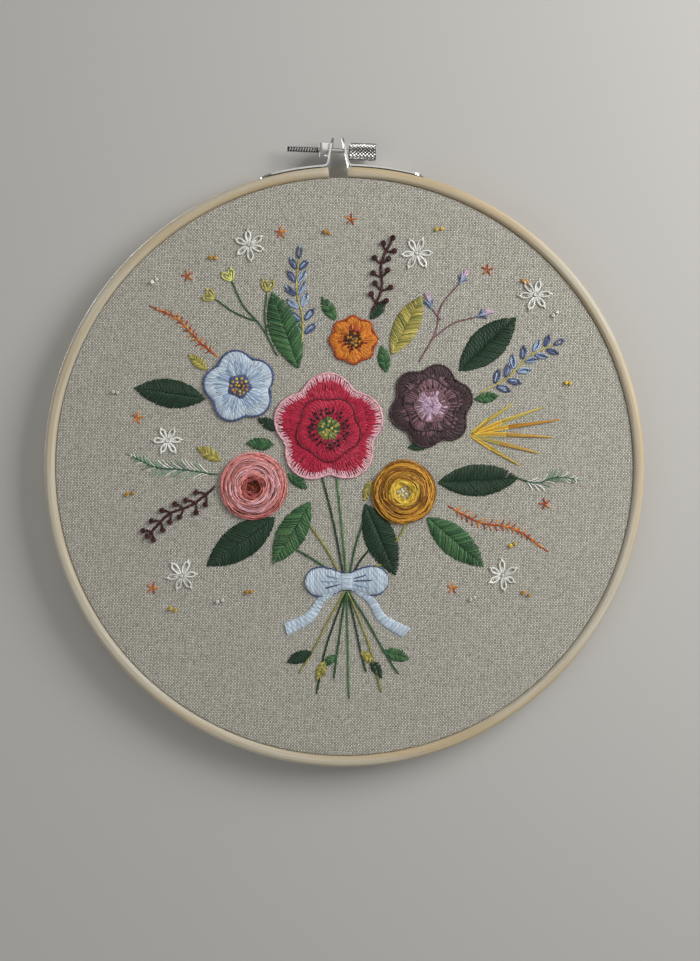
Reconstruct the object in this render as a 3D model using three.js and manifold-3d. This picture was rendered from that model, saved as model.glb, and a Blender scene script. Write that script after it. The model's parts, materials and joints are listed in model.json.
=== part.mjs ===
// Embroidered linen held in an 8 inch wooden hoop that hangs by its clamp screw.
// Millimetres, +Z up. The back of the rings is the plane y = 0 and the cloth faces -Y. The
// origin is in that plane, at the seat under the screw, midway between the two ears.

import * as THREE from "three";
import { mergeVertices } from "three/addons/utils/BufferGeometryUtils.js";
import Module from "manifold-3d";

const wasm = await Module();
wasm.setup();

// Rings
const RING_OUTER_R = 102;
const RING_WALL = 3.6;
const RING_DEPTH = 10;
const RING_CORNER = 1.5;
const RING_STEPS = 96;
const GAP = 0.3;
const CLOTH_THICK = 1;
const CLOTH_RECESS = 1.2;
const CLOTH_EDGE_R = 1;
const CLOTH_TRIM = 0.5;

// Split in the outer ring, wider outside than inside
const SPLIT_OUTER_W = 7;
const SPLIT_INNER_W = 6.2;

// Clamp: two bent strips, a nut and a thumbscrew that leans a little
const STRIP_THICK = 0.6;
const STRIP_WIDTH = 8;
const STRIP_ARC_RIGHT = 29.5;
const STRIP_ARC_LEFT = 27;
const EAR_FOOT_X = 3.9;
const EAR_TOP_X = 1.9;
const EAR_HEIGHT = 10.8;
const EAR_BEND = 1.3;
const EAR_HOLE_R = 1.35;
const RIVET_R = 1.2;
const RIVET_RISE = 0.45;
const RIVET_ARC = 9;
const SCREW_LIFT = 6.4;
const SCREW_LEAN_DEG = 3.5;
const SHAFT_R = 0.8;
const THREAD_R = 0.95;
const THREAD_PITCH = 0.9;
const THREAD_FROM = -17.5;
const THREAD_TO = -6.7;
const HEAD_FROM = 3.75;
const HEAD_TO = 13.1;
const HEAD_R = 2.95;
const KNURL_DEEP = 0.22;
const KNURL_ROWS = 10;
const KNURL_STEPS = 20;
const NUT_FROM = -6.3;
const NUT_LONG = 3;
const NUT_SIDE = 4.3;
const NUT_BORE_R = 1.3;

// Worked out from the sizes above
const RING_INNER_R = RING_OUTER_R - RING_WALL;
const CLOTH_R = RING_INNER_R - GAP;
const SKIRT_INNER_R = CLOTH_R - CLOTH_THICK;
const HOLDER_OUTER_R = SKIRT_INNER_R - GAP;
const HOLDER_INNER_R = HOLDER_OUTER_R - RING_WALL;
const CLOTH_FRONT = RING_DEPTH - CLOTH_RECESS;
const HOLDER_DEPTH = CLOTH_FRONT - CLOTH_THICK - GAP;
const HOOP_Z = SHAFT_R - SCREW_LIFT - RING_OUTER_R;
const MID_DEPTH = RING_DEPTH / 2;

// Raised stitching, placed from the centre of the hoop. Flowers with petals = 0 are woven
// roses. Turn is the angle of the first petal, in degrees.
const FLOWERS = [
  { name: "poppy", x: -5, z: 13, radius: 19, petals: 5, turn: 90, rise: 1.5, color: 0xa81f3c },
  { name: "rose_coral", x: -31, z: -6, radius: 11.5, petals: 0, turn: 0, rise: 2.6, color: 0xd08a84 },
  { name: "rose_gold", x: 20, z: -9, radius: 11, petals: 0, turn: 0, rise: 2.6, color: 0xb07c28 },
  { name: "anemone", x: 30, z: 20, radius: 14.5, petals: 6, turn: 75, rise: 1.4, color: 0x4a3438 },
  { name: "blue_flower", x: -35, z: 28, radius: 12.5, petals: 5, turn: 100, rise: 1.3, color: 0xb4c6d8 },
  { name: "marigold", x: 4, z: 43, radius: 8.5, petals: 8, turn: 90, rise: 1.4, color: 0xc98a20 },
];

// Each leaf runs from its root to its tip; belly is the half width, to one side of the line
const LEAVES = [
  { name: "leaf_west", x: -24, z: -17, angle: 214, long: 28, belly: 6, color: 0x1e3a2a },
  { name: "leaf_southwest", x: -12, z: -12, angle: 238, long: 24, belly: 5, color: 0x3f6b45 },
  { name: "leaf_south", x: 7, z: -13, angle: 292, long: 26, belly: 5.4, color: 0x1e3a2a },
  { name: "leaf_southeast", x: 28, z: -18, angle: 318, long: 25, belly: 5.2, color: 0x3f6b45 },
  { name: "leaf_east", x: 32, z: -6, angle: 2, long: 27, belly: 5.6, color: 0x1e3a2a },
  { name: "leaf_northeast", x: 40, z: 32, angle: 42, long: 26, belly: 6, color: 0x1e3a2a },
  { name: "leaf_north", x: 17, z: 38, angle: 62, long: 22, belly: 4.4, color: 0x8c8a45 },
  { name: "leaf_northwest", x: -15, z: 34, angle: 108, long: 27, belly: 5.6, color: 0x3f6b45 },
  { name: "leaf_far_west", x: -47, z: 24, angle: 170, long: 24, belly: 5, color: 0x1e3a2a },
];

const BOW = { name: "bow", z: -39, span: 14, belly: 7.5, rise: 1.1, color: 0xb4c6d8 };
const LEAF_RISE = 0.9;
const MOUND_STEPS = 40;
const LEAF_STEPS = 24;

const finishes = {
  wood: new THREE.MeshStandardMaterial({ color: 0xc8b898, roughness: 0.6, metalness: 0 }),
  heldWood: new THREE.MeshStandardMaterial({ color: 0xbfae8c, roughness: 0.65, metalness: 0 }),
  linen: new THREE.MeshStandardMaterial({ color: 0xa8a292, roughness: 0.95, metalness: 0 }),
  nickel: new THREE.MeshStandardMaterial({ color: 0xb8b8b4, roughness: 0.3, metalness: 1 }),
};

function threadFinish(color) {
  return new THREE.MeshStandardMaterial({ color, roughness: 0.55, metalness: 0 });
}

function weld(geometry) {
  geometry.deleteAttribute("normal");
  geometry.deleteAttribute("uv");
  return mergeVertices(geometry, 1e-4);
}

function solidOf(geometry) {
  const welded = weld(geometry);
  const mesh = new wasm.Mesh({
    numProp: 3,
    vertProperties: new Float32Array(welded.attributes.position.array),
    triVerts: new Uint32Array(welded.index.array),
  });
  return new wasm.Manifold(mesh);
}

function geometryOf(solid) {
  const mesh = solid.getMesh();
  const geometry = new THREE.BufferGeometry();
  geometry.setAttribute("position", new THREE.BufferAttribute(mesh.vertProperties, 3));
  geometry.setIndex(new THREE.BufferAttribute(mesh.triVerts, 1));
  return geometry;
}

function named(name, geometry, material) {
  const mesh = new THREE.Mesh(geometry, material);
  mesh.name = name;
  return mesh;
}

// A closed ring about the Y axis; corners are [radius, height above the back, corner radius]
function turned(corners, cornerSteps) {
  const shape = new THREE.Path();
  const count = corners.length;
  const spotOf = (i) => new THREE.Vector2(corners[i % count][0], -corners[i % count][1]);
  for (let i = 0; i <= count; i++) {
    const soft = corners[i % count][2];
    const here = spotOf(i);
    const from = here.clone().add(spotOf(i + count - 1).sub(here).setLength(soft));
    const to = here.clone().add(spotOf(i + 1).sub(here).setLength(soft));
    if (i === 0) {
      shape.moveTo(to.x, to.y);
    } else {
      shape.lineTo(from.x, from.y);
      shape.quadraticCurveTo(here.x, here.y, to.x, to.y);
    }
  }
  return new THREE.LatheGeometry(shape.getPoints(cornerSteps), RING_STEPS);
}

function outerRing() {
  const corners = [
    [RING_INNER_R, 0, RING_CORNER / 2],
    [RING_INNER_R, RING_DEPTH, RING_CORNER],
    [RING_OUTER_R, RING_DEPTH, RING_CORNER],
    [RING_OUTER_R, 0, RING_CORNER],
  ];
  const past = 2;
  const wedge = new THREE.Shape();
  wedge.moveTo(-SPLIT_OUTER_W / 2, RING_OUTER_R + past);
  wedge.lineTo(-SPLIT_INNER_W / 2, RING_INNER_R - past);
  wedge.lineTo(SPLIT_INNER_W / 2, RING_INNER_R - past);
  wedge.lineTo(SPLIT_OUTER_W / 2, RING_OUTER_R + past);
  const cutter = new THREE.ExtrudeGeometry(wedge, { depth: RING_DEPTH + 2 * past, bevelEnabled: false });
  cutter.rotateX(Math.PI / 2);
  cutter.translate(0, past, 0);
  return geometryOf(solidOf(turned(corners, 2)).subtract(solidOf(cutter)));
}

function holderRing() {
  return turned([
    [HOLDER_INNER_R, 0, RING_CORNER / 2],
    [HOLDER_INNER_R, HOLDER_DEPTH, RING_CORNER / 2],
    [HOLDER_OUTER_R, HOLDER_DEPTH, RING_CORNER / 2],
    [HOLDER_OUTER_R, 0, RING_CORNER / 2],
  ], 1);
}

// The linen is one sheet: a flat front that turns down between the rings
function cloth() {
  const back = CLOTH_FRONT - CLOTH_THICK;
  const path = new THREE.Path();
  path.moveTo(0, -CLOTH_FRONT);
  path.lineTo(CLOTH_R - CLOTH_EDGE_R, -CLOTH_FRONT);
  path.quadraticCurveTo(CLOTH_R, -CLOTH_FRONT, CLOTH_R, -CLOTH_FRONT + CLOTH_EDGE_R);
  path.lineTo(CLOTH_R, -CLOTH_TRIM);
  path.lineTo(SKIRT_INNER_R, -CLOTH_TRIM);
  path.lineTo(SKIRT_INNER_R, -back);
  path.lineTo(0, -back);
  return new THREE.LatheGeometry(path.getPoints(4), RING_STEPS);
}

// A strip of even thickness along a path in the XZ plane, extruded through the ring's depth
function bentStrip(path, width) {
  const line = path.getPoints(10).filter((p, i, all) => i === 0 || p.distanceTo(all[i - 1]) > 1e-6);
  const offset = (side) => line.map((p, i) => {
    const run = line[Math.min(i + 1, line.length - 1)].clone().sub(line[Math.max(i - 1, 0)]).normalize();
    return new THREE.Vector2(p.x - run.y * side, p.y + run.x * side);
  });
  const half = STRIP_THICK / 2;
  const outline = new THREE.Shape([...offset(half), ...offset(-half).reverse()]);
  const geometry = new THREE.ExtrudeGeometry(outline, { depth: width, bevelEnabled: false });
  geometry.rotateX(Math.PI / 2);
  geometry.translate(0, -MID_DEPTH + width / 2, 0);
  return geometry;
}

// A tab with one round end, extruded from a plane far enough to cut a whole bracket
function roundTab(length, width, through) {
  const r = width / 2;
  const tab = new THREE.Shape();
  tab.moveTo(-2 * r, -r);
  tab.lineTo(length - r, -r);
  tab.absarc(length - r, 0, r, -Math.PI / 2, Math.PI / 2, false);
  tab.lineTo(-2 * r, r);
  return new THREE.ExtrudeGeometry(tab, { depth: through, bevelEnabled: false, curveSegments: 12 });
}

function bracket(side, arc) {
  const mid = RING_OUTER_R + GAP + STRIP_THICK / 2;
  const endTurn = arc / mid;
  const footTurn = (EAR_FOOT_X + EAR_BEND) / mid;
  const slope = (EAR_FOOT_X - EAR_TOP_X) / EAR_HEIGHT;
  const footX = EAR_FOOT_X - STRIP_THICK / 2;
  const path = new THREE.Path();
  path.absarc(0, 0, mid, Math.PI / 2 - endTurn, Math.PI / 2 - footTurn, false);
  path.quadraticCurveTo(footX, mid, footX - slope * EAR_BEND, mid + EAR_BEND);
  path.lineTo(footX - slope * EAR_HEIGHT, RING_OUTER_R + EAR_HEIGHT);
  let solid = solidOf(bentStrip(path, STRIP_WIDTH + 2));

  const through = 60;
  const earTab = roundTab(EAR_HEIGHT, STRIP_WIDTH, through);
  earTab.rotateY(-Math.PI / 2);
  earTab.translate(through / 2, -MID_DEPTH, RING_OUTER_R);
  const endTab = roundTab(mid * Math.sin(endTurn), STRIP_WIDTH, through);
  endTab.translate(0, -MID_DEPTH, RING_OUTER_R - through / 2);
  solid = solid.intersect(solidOf(earTab)).intersect(solidOf(endTab));

  const hole = new THREE.CylinderGeometry(EAR_HOLE_R, EAR_HOLE_R, 4 * EAR_FOOT_X, 20);
  hole.rotateZ(Math.PI / 2);
  hole.translate(0, -MID_DEPTH, RING_OUTER_R + SCREW_LIFT);
  solid = solid.subtract(solidOf(hole));

  const rivet = new THREE.SphereGeometry(RIVET_R, 16, 8);
  rivet.scale(1, 1, RIVET_RISE / RIVET_R);
  rivet.translate(0, -MID_DEPTH, mid + STRIP_THICK / 2);
  rivet.rotateY(RIVET_ARC / mid);
  const geometry = geometryOf(solid.add(solidOf(rivet)));
  return side > 0 ? geometry : mirrored(geometry);
}

function mirrored(geometry) {
  const flipped = geometry.clone().scale(-1, 1, 1);
  const index = flipped.index.array;
  for (let i = 0; i < index.length; i += 3) {
    [index[i], index[i + 1]] = [index[i + 1], index[i]];
  }
  return flipped;
}

// One turned body along X: ridged thread, plain neck through the ears, knurled head
function screw() {
  const profile = [new THREE.Vector2(0, THREAD_FROM), new THREE.Vector2(SHAFT_R, THREAD_FROM)];
  for (let x = THREAD_FROM + THREAD_PITCH / 2; x < THREAD_TO; x += THREAD_PITCH) {
    profile.push(new THREE.Vector2(THREAD_R, x));
    profile.push(new THREE.Vector2(SHAFT_R, x + THREAD_PITCH / 2));
  }
  profile.push(new THREE.Vector2(SHAFT_R, HEAD_FROM));
  const soft = 0.35;
  profile.push(new THREE.Vector2(HEAD_R - soft, HEAD_FROM));
  const body = HEAD_TO - HEAD_FROM - 2 * soft;
  for (let row = 0; row <= KNURL_ROWS; row++) {
    profile.push(new THREE.Vector2(HEAD_R, HEAD_FROM + soft + (body * row) / KNURL_ROWS));
  }
  profile.push(new THREE.Vector2(HEAD_R - soft, HEAD_TO), new THREE.Vector2(0, HEAD_TO));
  const geometry = weld(new THREE.LatheGeometry(profile, KNURL_STEPS));

  const spot = geometry.attributes.position;
  const rowStep = body / KNURL_ROWS;
  for (let i = 0; i < spot.count; i++) {
    const x = spot.getX(i);
    const z = spot.getZ(i);
    if (Math.hypot(x, z) < HEAD_R - soft / 2) continue;
    const step = Math.round((Math.atan2(x, z) / (2 * Math.PI)) * KNURL_STEPS);
    const row = Math.round((spot.getY(i) - HEAD_FROM - soft) / rowStep);
    const keep = 1 - (Math.abs(step + row) % 2) * (KNURL_DEEP / HEAD_R);
    spot.setXYZ(i, x * keep, spot.getY(i), z * keep);
  }
  geometry.rotateZ(-Math.PI / 2);
  return geometry;
}

function nut() {
  const half = NUT_SIDE / 2;
  const face = new THREE.Shape();
  face.moveTo(-half, -half);
  face.lineTo(half, -half);
  face.lineTo(half, half);
  face.lineTo(-half, half);
  const bore = new THREE.Path();
  bore.absarc(0, 0, NUT_BORE_R, 0, 2 * Math.PI, true);
  face.holes.push(bore);
  const geometry = new THREE.ExtrudeGeometry(face, { depth: NUT_LONG, bevelEnabled: false });
  geometry.rotateY(Math.PI / 2);
  geometry.translate(NUT_FROM, 0, 0);
  return geometry;
}

// A low mound of thread. Outline gives the rim at an angle; profile rows are
// [share of the way out to the rim, share of the rise], from the top to the back.
function mound(outline, rise, steps, profile) {
  const points = profile.map(([out, up]) => new THREE.Vector2(out, up));
  const geometry = weld(new THREE.LatheGeometry(points, steps));
  const spot = geometry.attributes.position;
  for (let i = 0; i < spot.count; i++) {
    const x = spot.getX(i);
    const z = spot.getZ(i);
    const out = Math.hypot(x, z);
    const rim = outline(Math.atan2(z, x));
    spot.setXYZ(i, rim.x * out, -spot.getY(i) * rise, rim.y * out);
  }
  return geometry;
}

const DOME = [[0, 0.9], [0.3, 1], [0.75, 0.95], [0.97, 0.55], [1, 0], [0, 0]];
const ROSE = [[0, 0.7], [0.25, 0.95], [0.62, 1], [0.9, 0.75], [1, 0.3], [0.94, 0], [0, 0]];

function flower({ name, x, z, radius, petals, turn, rise, color }) {
  const notch = petals > 0 ? 0.2 : 0.02;
  const lobes = petals > 0 ? petals : 7;
  const start = THREE.MathUtils.degToRad(turn);
  const outline = (a) => {
    const r = radius * (1 - notch * (1 - Math.abs(Math.cos(((a - start) * lobes) / 2))));
    return new THREE.Vector2(r * Math.cos(a), r * Math.sin(a));
  };
  const shape = mound(outline, rise, MOUND_STEPS, petals > 0 ? DOME : ROSE);
  const mesh = named(name, shape, threadFinish(color));
  mesh.position.set(x, -CLOTH_FRONT - GAP, HOOP_Z + z);
  return mesh;
}

function leaf({ name, x, z, angle, long, belly, color }) {
  const outline = (a) => {
    const side = Math.sin(a);
    return new THREE.Vector2((long / 2) * Math.cos(a), belly * side * Math.abs(side));
  };
  const mesh = named(name, mound(outline, LEAF_RISE, LEAF_STEPS, DOME), threadFinish(color));
  const turn = THREE.MathUtils.degToRad(angle);
  mesh.rotation.y = -turn;
  const halfX = (long / 2) * Math.cos(turn);
  const halfZ = (long / 2) * Math.sin(turn);
  mesh.position.set(x + halfX, -CLOTH_FRONT - GAP, HOOP_Z + z + halfZ);
  return mesh;
}

function bow({ name, z, span, belly, rise, color }) {
  const outline = (a) => {
    const out = Math.cos(a);
    return new THREE.Vector2(span * out, belly * Math.sin(a) * (0.3 + 0.9 * Math.abs(out)));
  };
  const mesh = named(name, mound(outline, rise, LEAF_STEPS, DOME), threadFinish(color));
  mesh.position.set(0, -CLOTH_FRONT - GAP, HOOP_Z + z);
  return mesh;
}

const hoop = new THREE.Group();
const rings = new THREE.Group();
rings.position.z = HOOP_Z;
rings.add(named("outer_ring", outerRing(), finishes.wood));
rings.add(named("inner_ring", holderRing(), finishes.heldWood));
rings.add(named("cloth", cloth(), finishes.linen));
rings.add(named("bracket_right", bracket(1, STRIP_ARC_RIGHT), finishes.nickel));
rings.add(named("bracket_left", bracket(-1, STRIP_ARC_LEFT), finishes.nickel));
hoop.add(rings);

const clamp = new THREE.Group();
clamp.position.set(0, -MID_DEPTH, SHAFT_R);
clamp.rotation.y = THREE.MathUtils.degToRad(SCREW_LEAN_DEG);
clamp.add(named("thumbscrew", screw(), finishes.nickel));
clamp.add(named("nut", nut(), finishes.nickel));
hoop.add(clamp);

for (const row of FLOWERS) hoop.add(flower(row));
for (const row of LEAVES) hoop.add(leaf(row));
hoop.add(bow(BOW));

export default hoop;
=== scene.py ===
# %% [markdown]
# # An embroidered linen in its hoop
# The hoop is a real workshop object: a whole wooden ring, a sheet of linen stretched over it, a
# split ring clamped round both, and flowers sewn through the linen in stranded cotton. The
# solids of the hoop come in first, and nothing here moves or resizes them. Every new piece takes
# its place and size from their boxes.

# %% Load the frame
import json
import math

import bmesh
import bpy
import numpy as np
from mathutils import Matrix, Vector


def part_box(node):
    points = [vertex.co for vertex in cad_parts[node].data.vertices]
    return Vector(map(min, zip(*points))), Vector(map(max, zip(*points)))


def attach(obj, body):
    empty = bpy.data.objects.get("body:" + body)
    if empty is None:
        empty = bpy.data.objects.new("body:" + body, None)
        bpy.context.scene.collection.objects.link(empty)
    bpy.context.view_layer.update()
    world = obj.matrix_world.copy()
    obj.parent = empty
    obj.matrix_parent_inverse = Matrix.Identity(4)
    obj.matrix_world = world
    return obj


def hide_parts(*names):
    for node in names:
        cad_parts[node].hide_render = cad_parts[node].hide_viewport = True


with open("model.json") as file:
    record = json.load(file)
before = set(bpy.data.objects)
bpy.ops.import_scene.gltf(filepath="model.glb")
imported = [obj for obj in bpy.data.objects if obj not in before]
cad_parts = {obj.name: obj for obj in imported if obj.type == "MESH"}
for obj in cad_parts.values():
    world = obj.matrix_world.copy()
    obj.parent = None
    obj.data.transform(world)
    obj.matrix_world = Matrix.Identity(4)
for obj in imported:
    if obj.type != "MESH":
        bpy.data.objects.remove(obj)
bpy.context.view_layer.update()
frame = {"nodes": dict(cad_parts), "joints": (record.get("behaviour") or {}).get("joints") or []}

MM = 0.001
rng = np.random.default_rng(11)

# %% [markdown]
# The rings, the cloth and the clamp share one middle, so a few sizes are read from the boxes of
# the solids. Stitches are placed in millimetres on the linen, from the middle of the hoop: x to
# the right, z up, and a height above the face of the linen.

# %% Read the sizes that the new pieces follow
ring_low, ring_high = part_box("outer_ring")
inner_low, inner_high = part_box("inner_ring")
cloth_low, cloth_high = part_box("cloth")
RING_R = (ring_high[0] - ring_low[0]) / 2
RING_FRONT = ring_low[1]
RING_BACK = ring_high[1]
HOOP_Z = ring_low[2] + RING_R
CLOTH_R = (cloth_high[0] - cloth_low[0]) / 2
CLOTH_FRONT = cloth_low[1]
CLOTH_BACK_EDGE = cloth_high[1]
INNER_R = (inner_high[0] - inner_low[0]) / 2
RING_WALL = 3.6 * MM
LINEN_THICK = 0.6 * MM
print("ring radius mm", round(RING_R / MM, 2), "linen radius mm", round(CLOTH_R / MM, 2))

# %% [markdown]
# ## Camera and light
# The hoop is seen square on from less than half a metre. The sensor's size covers the tall side
# of the picture, so one focal length fixes the size of the hoop in it. The picture leans by a
# degree, because the hoop hangs a little askew.

# %% Place the camera
PICTURE_TALL = 961
PICTURE_WIDE = 700
HOOP_SPAN_PX = 601.5
HOOP_MIDDLE_PX = (344.5, 466.5)
VIEW_DISTANCE = 0.42
SENSOR = 36.0
LEAN = math.radians(1.15)

metres_per_px = 2 * RING_R / HOOP_SPAN_PX
camera_data = bpy.data.cameras.new("view")
camera_data.sensor_width = SENSOR
camera_data.lens = SENSOR * VIEW_DISTANCE / (PICTURE_TALL * metres_per_px)
camera = bpy.data.objects.new("view", camera_data)
bpy.context.scene.collection.objects.link(camera)
aim_x = (PICTURE_WIDE / 2 - HOOP_MIDDLE_PX[0]) * metres_per_px
aim_z = HOOP_Z + (HOOP_MIDDLE_PX[1] - PICTURE_TALL / 2) * metres_per_px
camera.location = (aim_x, RING_FRONT - VIEW_DISTANCE, aim_z)
camera.rotation_euler = (math.pi / 2, LEAN, 0)
bpy.context.scene.camera = camera
bpy.context.scene.view_settings.view_transform = "Standard"
print("lens mm", round(camera_data.lens, 1))

# %% [markdown]
# The main light is one soft window on the right. It rakes across the stitches, so each thread
# has a bright and a dark side. A ceiling light, a fill and a pale room open the shadows, and one
# light behind shows the back of the hoop when it is looked at from there.

# %% Light the hoop
LIGHTS = [
    ("window", (0.50, -0.36, 0.16), 0.33, 5.0, (1.0, 0.985, 0.965)),
    ("ceiling", (0.12, -1.0, 0.62), 0.7, 1.9, (1.0, 0.99, 0.975)),
    ("fill", (-0.7, -0.9, -0.55), 0.8, 2.9, (0.97, 0.98, 1.0)),
    ("behind", (-0.6, 0.95, 0.3), 0.6, 14.0, (1.0, 1.0, 1.0)),
]
TALL_SHARE = 1.3
ROOM_COLOR = (0.86, 0.88, 0.9, 1)
ROOM_STRENGTH = 0.3


def soft_light(name, place, width, power, tint):
    """A tall soft light, in watts, that looks at the middle of the hoop."""
    data = bpy.data.lights.new(name, "AREA")
    data.shape = "RECTANGLE"
    data.size = width
    data.size_y = width * TALL_SHARE
    data.energy = power
    data.color = tint
    lamp = bpy.data.objects.new(name, data)
    lamp.location = place
    look = Vector((0, 0, HOOP_Z)) - lamp.location
    lamp.rotation_euler = look.to_track_quat("-Z", "Y").to_euler()
    bpy.context.scene.collection.objects.link(lamp)


for light in LIGHTS:
    soft_light(*light)
room = bpy.data.worlds.new("room")
room.use_nodes = True
room.node_tree.nodes["Background"].inputs["Color"].default_value = ROOM_COLOR
room.node_tree.nodes["Background"].inputs["Strength"].default_value = ROOM_STRENGTH
bpy.context.scene.world = room
print("lights:", len(LIGHTS))

# %% [markdown]
# ## Building materials
# A material is a small network of nodes. Written out node by node it is hard to read, so short
# helpers name the steps that come back: one adds a node and fills its inputs, some do sums, some
# lay noise, and one opens a shader group, which is a network with named inputs and outputs that
# several materials can share.

# %% Helpers for nodes
def fill(tree, socket, value):
    """Links a socket to another one, or sets its constant."""
    if isinstance(value, bpy.types.NodeSocket):
        tree.links.new(value, socket)
    else:
        socket.default_value = value


def add(tree, kind, inputs=None, **settings):
    node = tree.nodes.new(kind)
    for key, value in settings.items():
        setattr(node, key, value)
    for key, value in (inputs or {}).items():
        fill(tree, node.inputs[key], value)
    return node


def calc(tree, operation, *values):
    return add(tree, "ShaderNodeMath", dict(enumerate(values)), operation=operation).outputs[0]


def times(tree, first, second):
    return calc(tree, "MULTIPLY", first, second)


def plus(tree, first, second):
    return calc(tree, "ADD", first, second)


def blended(tree, factor, first, second):
    """A colour between two others."""
    inputs = {0: factor, 6: first, 7: second}
    return add(tree, "ShaderNodeMix", inputs, data_type="RGBA").outputs[2]


def darkened(color, share):
    return [share * c for c in color[:3]] + [1]


print("helpers for sums and colours ready")

# %% Helpers for patterns
def noise(tree, vector, scale, detail, rough=0.5, gives="Fac"):
    inputs = {"Vector": vector, "Scale": scale, "Detail": detail, "Roughness": rough}
    return add(tree, "ShaderNodeTexNoise", inputs).outputs[gives]


def stretched(tree, vector, scale):
    return add(tree, "ShaderNodeMapping", {"Vector": vector, "Scale": scale}).outputs[0]


def fitted(tree, value, low, high):
    """Fits the range from low to high to 0 to 1."""
    return add(tree, "ShaderNodeMapRange", {0: value, 1: low, 2: high}).outputs[0]


def parts_of(tree, vector):
    return add(tree, "ShaderNodeSeparateXYZ", {0: vector}).outputs


def joined(tree, x, y, z):
    return add(tree, "ShaderNodeCombineXYZ", {0: x, 1: y, 2: z}).outputs[0]


def carried(tree, label):
    """A value that the mesh carries as an attribute."""
    return add(tree, "ShaderNodeAttribute", attribute_name=label).outputs["Fac"]


def bumped(tree, shader, height, distance, strength):
    inputs = {"Height": height, "Distance": distance, "Strength": strength}
    tree.links.new(add(tree, "ShaderNodeBump", inputs).outputs[0], shader.inputs["Normal"])


print("helpers for patterns ready")

# %% Helpers that open a group or a material
def open_group(name, numbers, gives):
    """A new group that takes a Vector and the given numbers."""
    tree = bpy.data.node_groups.new(name, "ShaderNodeTree")
    tree.interface.new_socket(name="Vector", in_out="INPUT", socket_type="NodeSocketVector")
    for label, value in numbers.items():
        socket = tree.interface.new_socket(name=label, in_out="INPUT", socket_type="NodeSocketFloat")
        socket.default_value = value
    for label in gives:
        tree.interface.new_socket(name=label, in_out="OUTPUT", socket_type="NodeSocketFloat")
    takes = tree.nodes.new("NodeGroupInput").outputs
    return tree, takes, tree.nodes.new("NodeGroupOutput").inputs


def use_group(tree, group, **inputs):
    return add(tree, "ShaderNodeGroup", inputs, node_tree=group).outputs


def open_material(name, **constants):
    material = bpy.data.materials.new(name)
    material.use_nodes = True
    tree = material.node_tree
    shader = tree.nodes["Principled BSDF"]
    for label, value in constants.items():
        shader.inputs[label.replace("_", " ")].default_value = value
    return material, tree, shader


print("helpers for groups and materials ready")

# %% [markdown]
# ### Stage
# The backdrop and the floor aren't part of the hoop. The backdrop takes the hoop's soft shadow.
# Seen from behind it is clear, so that the back of the hoop can be looked at too.

# %% Stand the hoop against a plain pale backdrop
STAGE_REACH = 1.6
BACKDROP_Y = 0.0006
FLOOR_Z = -0.9


def stage_plane(name, corners, color):
    mesh = bpy.data.meshes.new(name)
    sheet = bmesh.new()
    sheet.faces.new([sheet.verts.new(corner) for corner in corners])
    sheet.to_mesh(mesh)
    sheet.free()
    plane = bpy.data.objects.new(name, mesh)
    bpy.context.scene.collection.objects.link(plane)
    material, tree, shader = open_material(name, Roughness=0.9)
    clouds = add(tree, "ShaderNodeTexNoise", {"Scale": 9.0, "Detail": 4.0}).outputs["Fac"]
    tint = blended(tree, clouds, color, darkened(color, 0.96))
    tree.links.new(tint, shader.inputs["Base Color"])
    mesh.materials.append(material)
    return plane, tree, shader


backdrop, tree, shader = stage_plane("backdrop", [
    (-STAGE_REACH, BACKDROP_Y, FLOOR_Z), (STAGE_REACH, BACKDROP_Y, FLOOR_Z),
    (STAGE_REACH, BACKDROP_Y, STAGE_REACH), (-STAGE_REACH, BACKDROP_Y, STAGE_REACH),
], (0.42, 0.41, 0.39, 1))
backdrop.visible_diffuse = False
backdrop.visible_glossy = False
backdrop.visible_shadow = False
from_behind = add(tree, "ShaderNodeNewGeometry").outputs["Backfacing"]
clear = add(tree, "ShaderNodeBsdfTransparent").outputs[0]
either = add(tree, "ShaderNodeMixShader", {0: from_behind, 1: shader.outputs[0], 2: clear})
tree.links.new(either.outputs[0], tree.nodes["Material Output"].inputs["Surface"])

floor, _, _ = stage_plane("floor", [
    (-STAGE_REACH, -2 * STAGE_REACH, FLOOR_Z), (STAGE_REACH, -2 * STAGE_REACH, FLOOR_Z),
    (STAGE_REACH, STAGE_REACH, FLOOR_Z), (-STAGE_REACH, STAGE_REACH, FLOOR_Z),
], (0.55, 0.54, 0.52, 1))
print("stage:", backdrop.name, "and", floor.name)

# %% [markdown]
# ### Bent wood
# Each ring is a strip of beech bent into a circle, so the grain runs round it. Rings cut from a
# noise in space would look sawn from a board, so here the angle round the hoop becomes a length
# along the strip. A noise that is stretched along that length gives fibres, pores and broad
# bands of warmer wood. The wood is warmest by the split.

# %% Draw the grain of a bent strip
bent_grain, takes, gives = open_group(
    "Bent grain", {"Centre": 0.0, "Radius": 0.1}, ["Fibre", "Band", "Pore"])
place = parts_of(bent_grain, takes["Vector"])
drop = calc(bent_grain, "SUBTRACT", takes["Centre"], place["Z"])
angle = calc(bent_grain, "ARCTAN2", place["X"], drop)
x_squared = calc(bent_grain, "POWER", place["X"], 2.0)
drop_squared = calc(bent_grain, "POWER", drop, 2.0)
across = calc(bent_grain, "SQRT", plus(bent_grain, x_squared, drop_squared))
strip = joined(bent_grain, times(bent_grain, angle, takes["Radius"]), across, place["Y"])
for label, scale, detail, rough in [
    ("Fibre", (34, 1500, 1300), 4.0, 0.6),
    ("Band", (14, 260, 190), 2.0, 0.5),
    ("Pore", (260, 5200, 4200), 1.0, 0.4),
]:
    streaks = noise(bent_grain, stretched(bent_grain, strip, scale), 1.0, detail, rough)
    bent_grain.links.new(streaks, gives[label])
print("bent grain nodes:", len(bent_grain.nodes))

# %% Make the bent wood finish
WARM_FROM = HOOP_Z + 0.7 * RING_R
WARM_TO = HOOP_Z + RING_R
WARMER = 0.45
BAND_SHARE = 0.85
FIBRE_SHARE = 0.52
PORE_SHARE = 0.4


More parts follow.
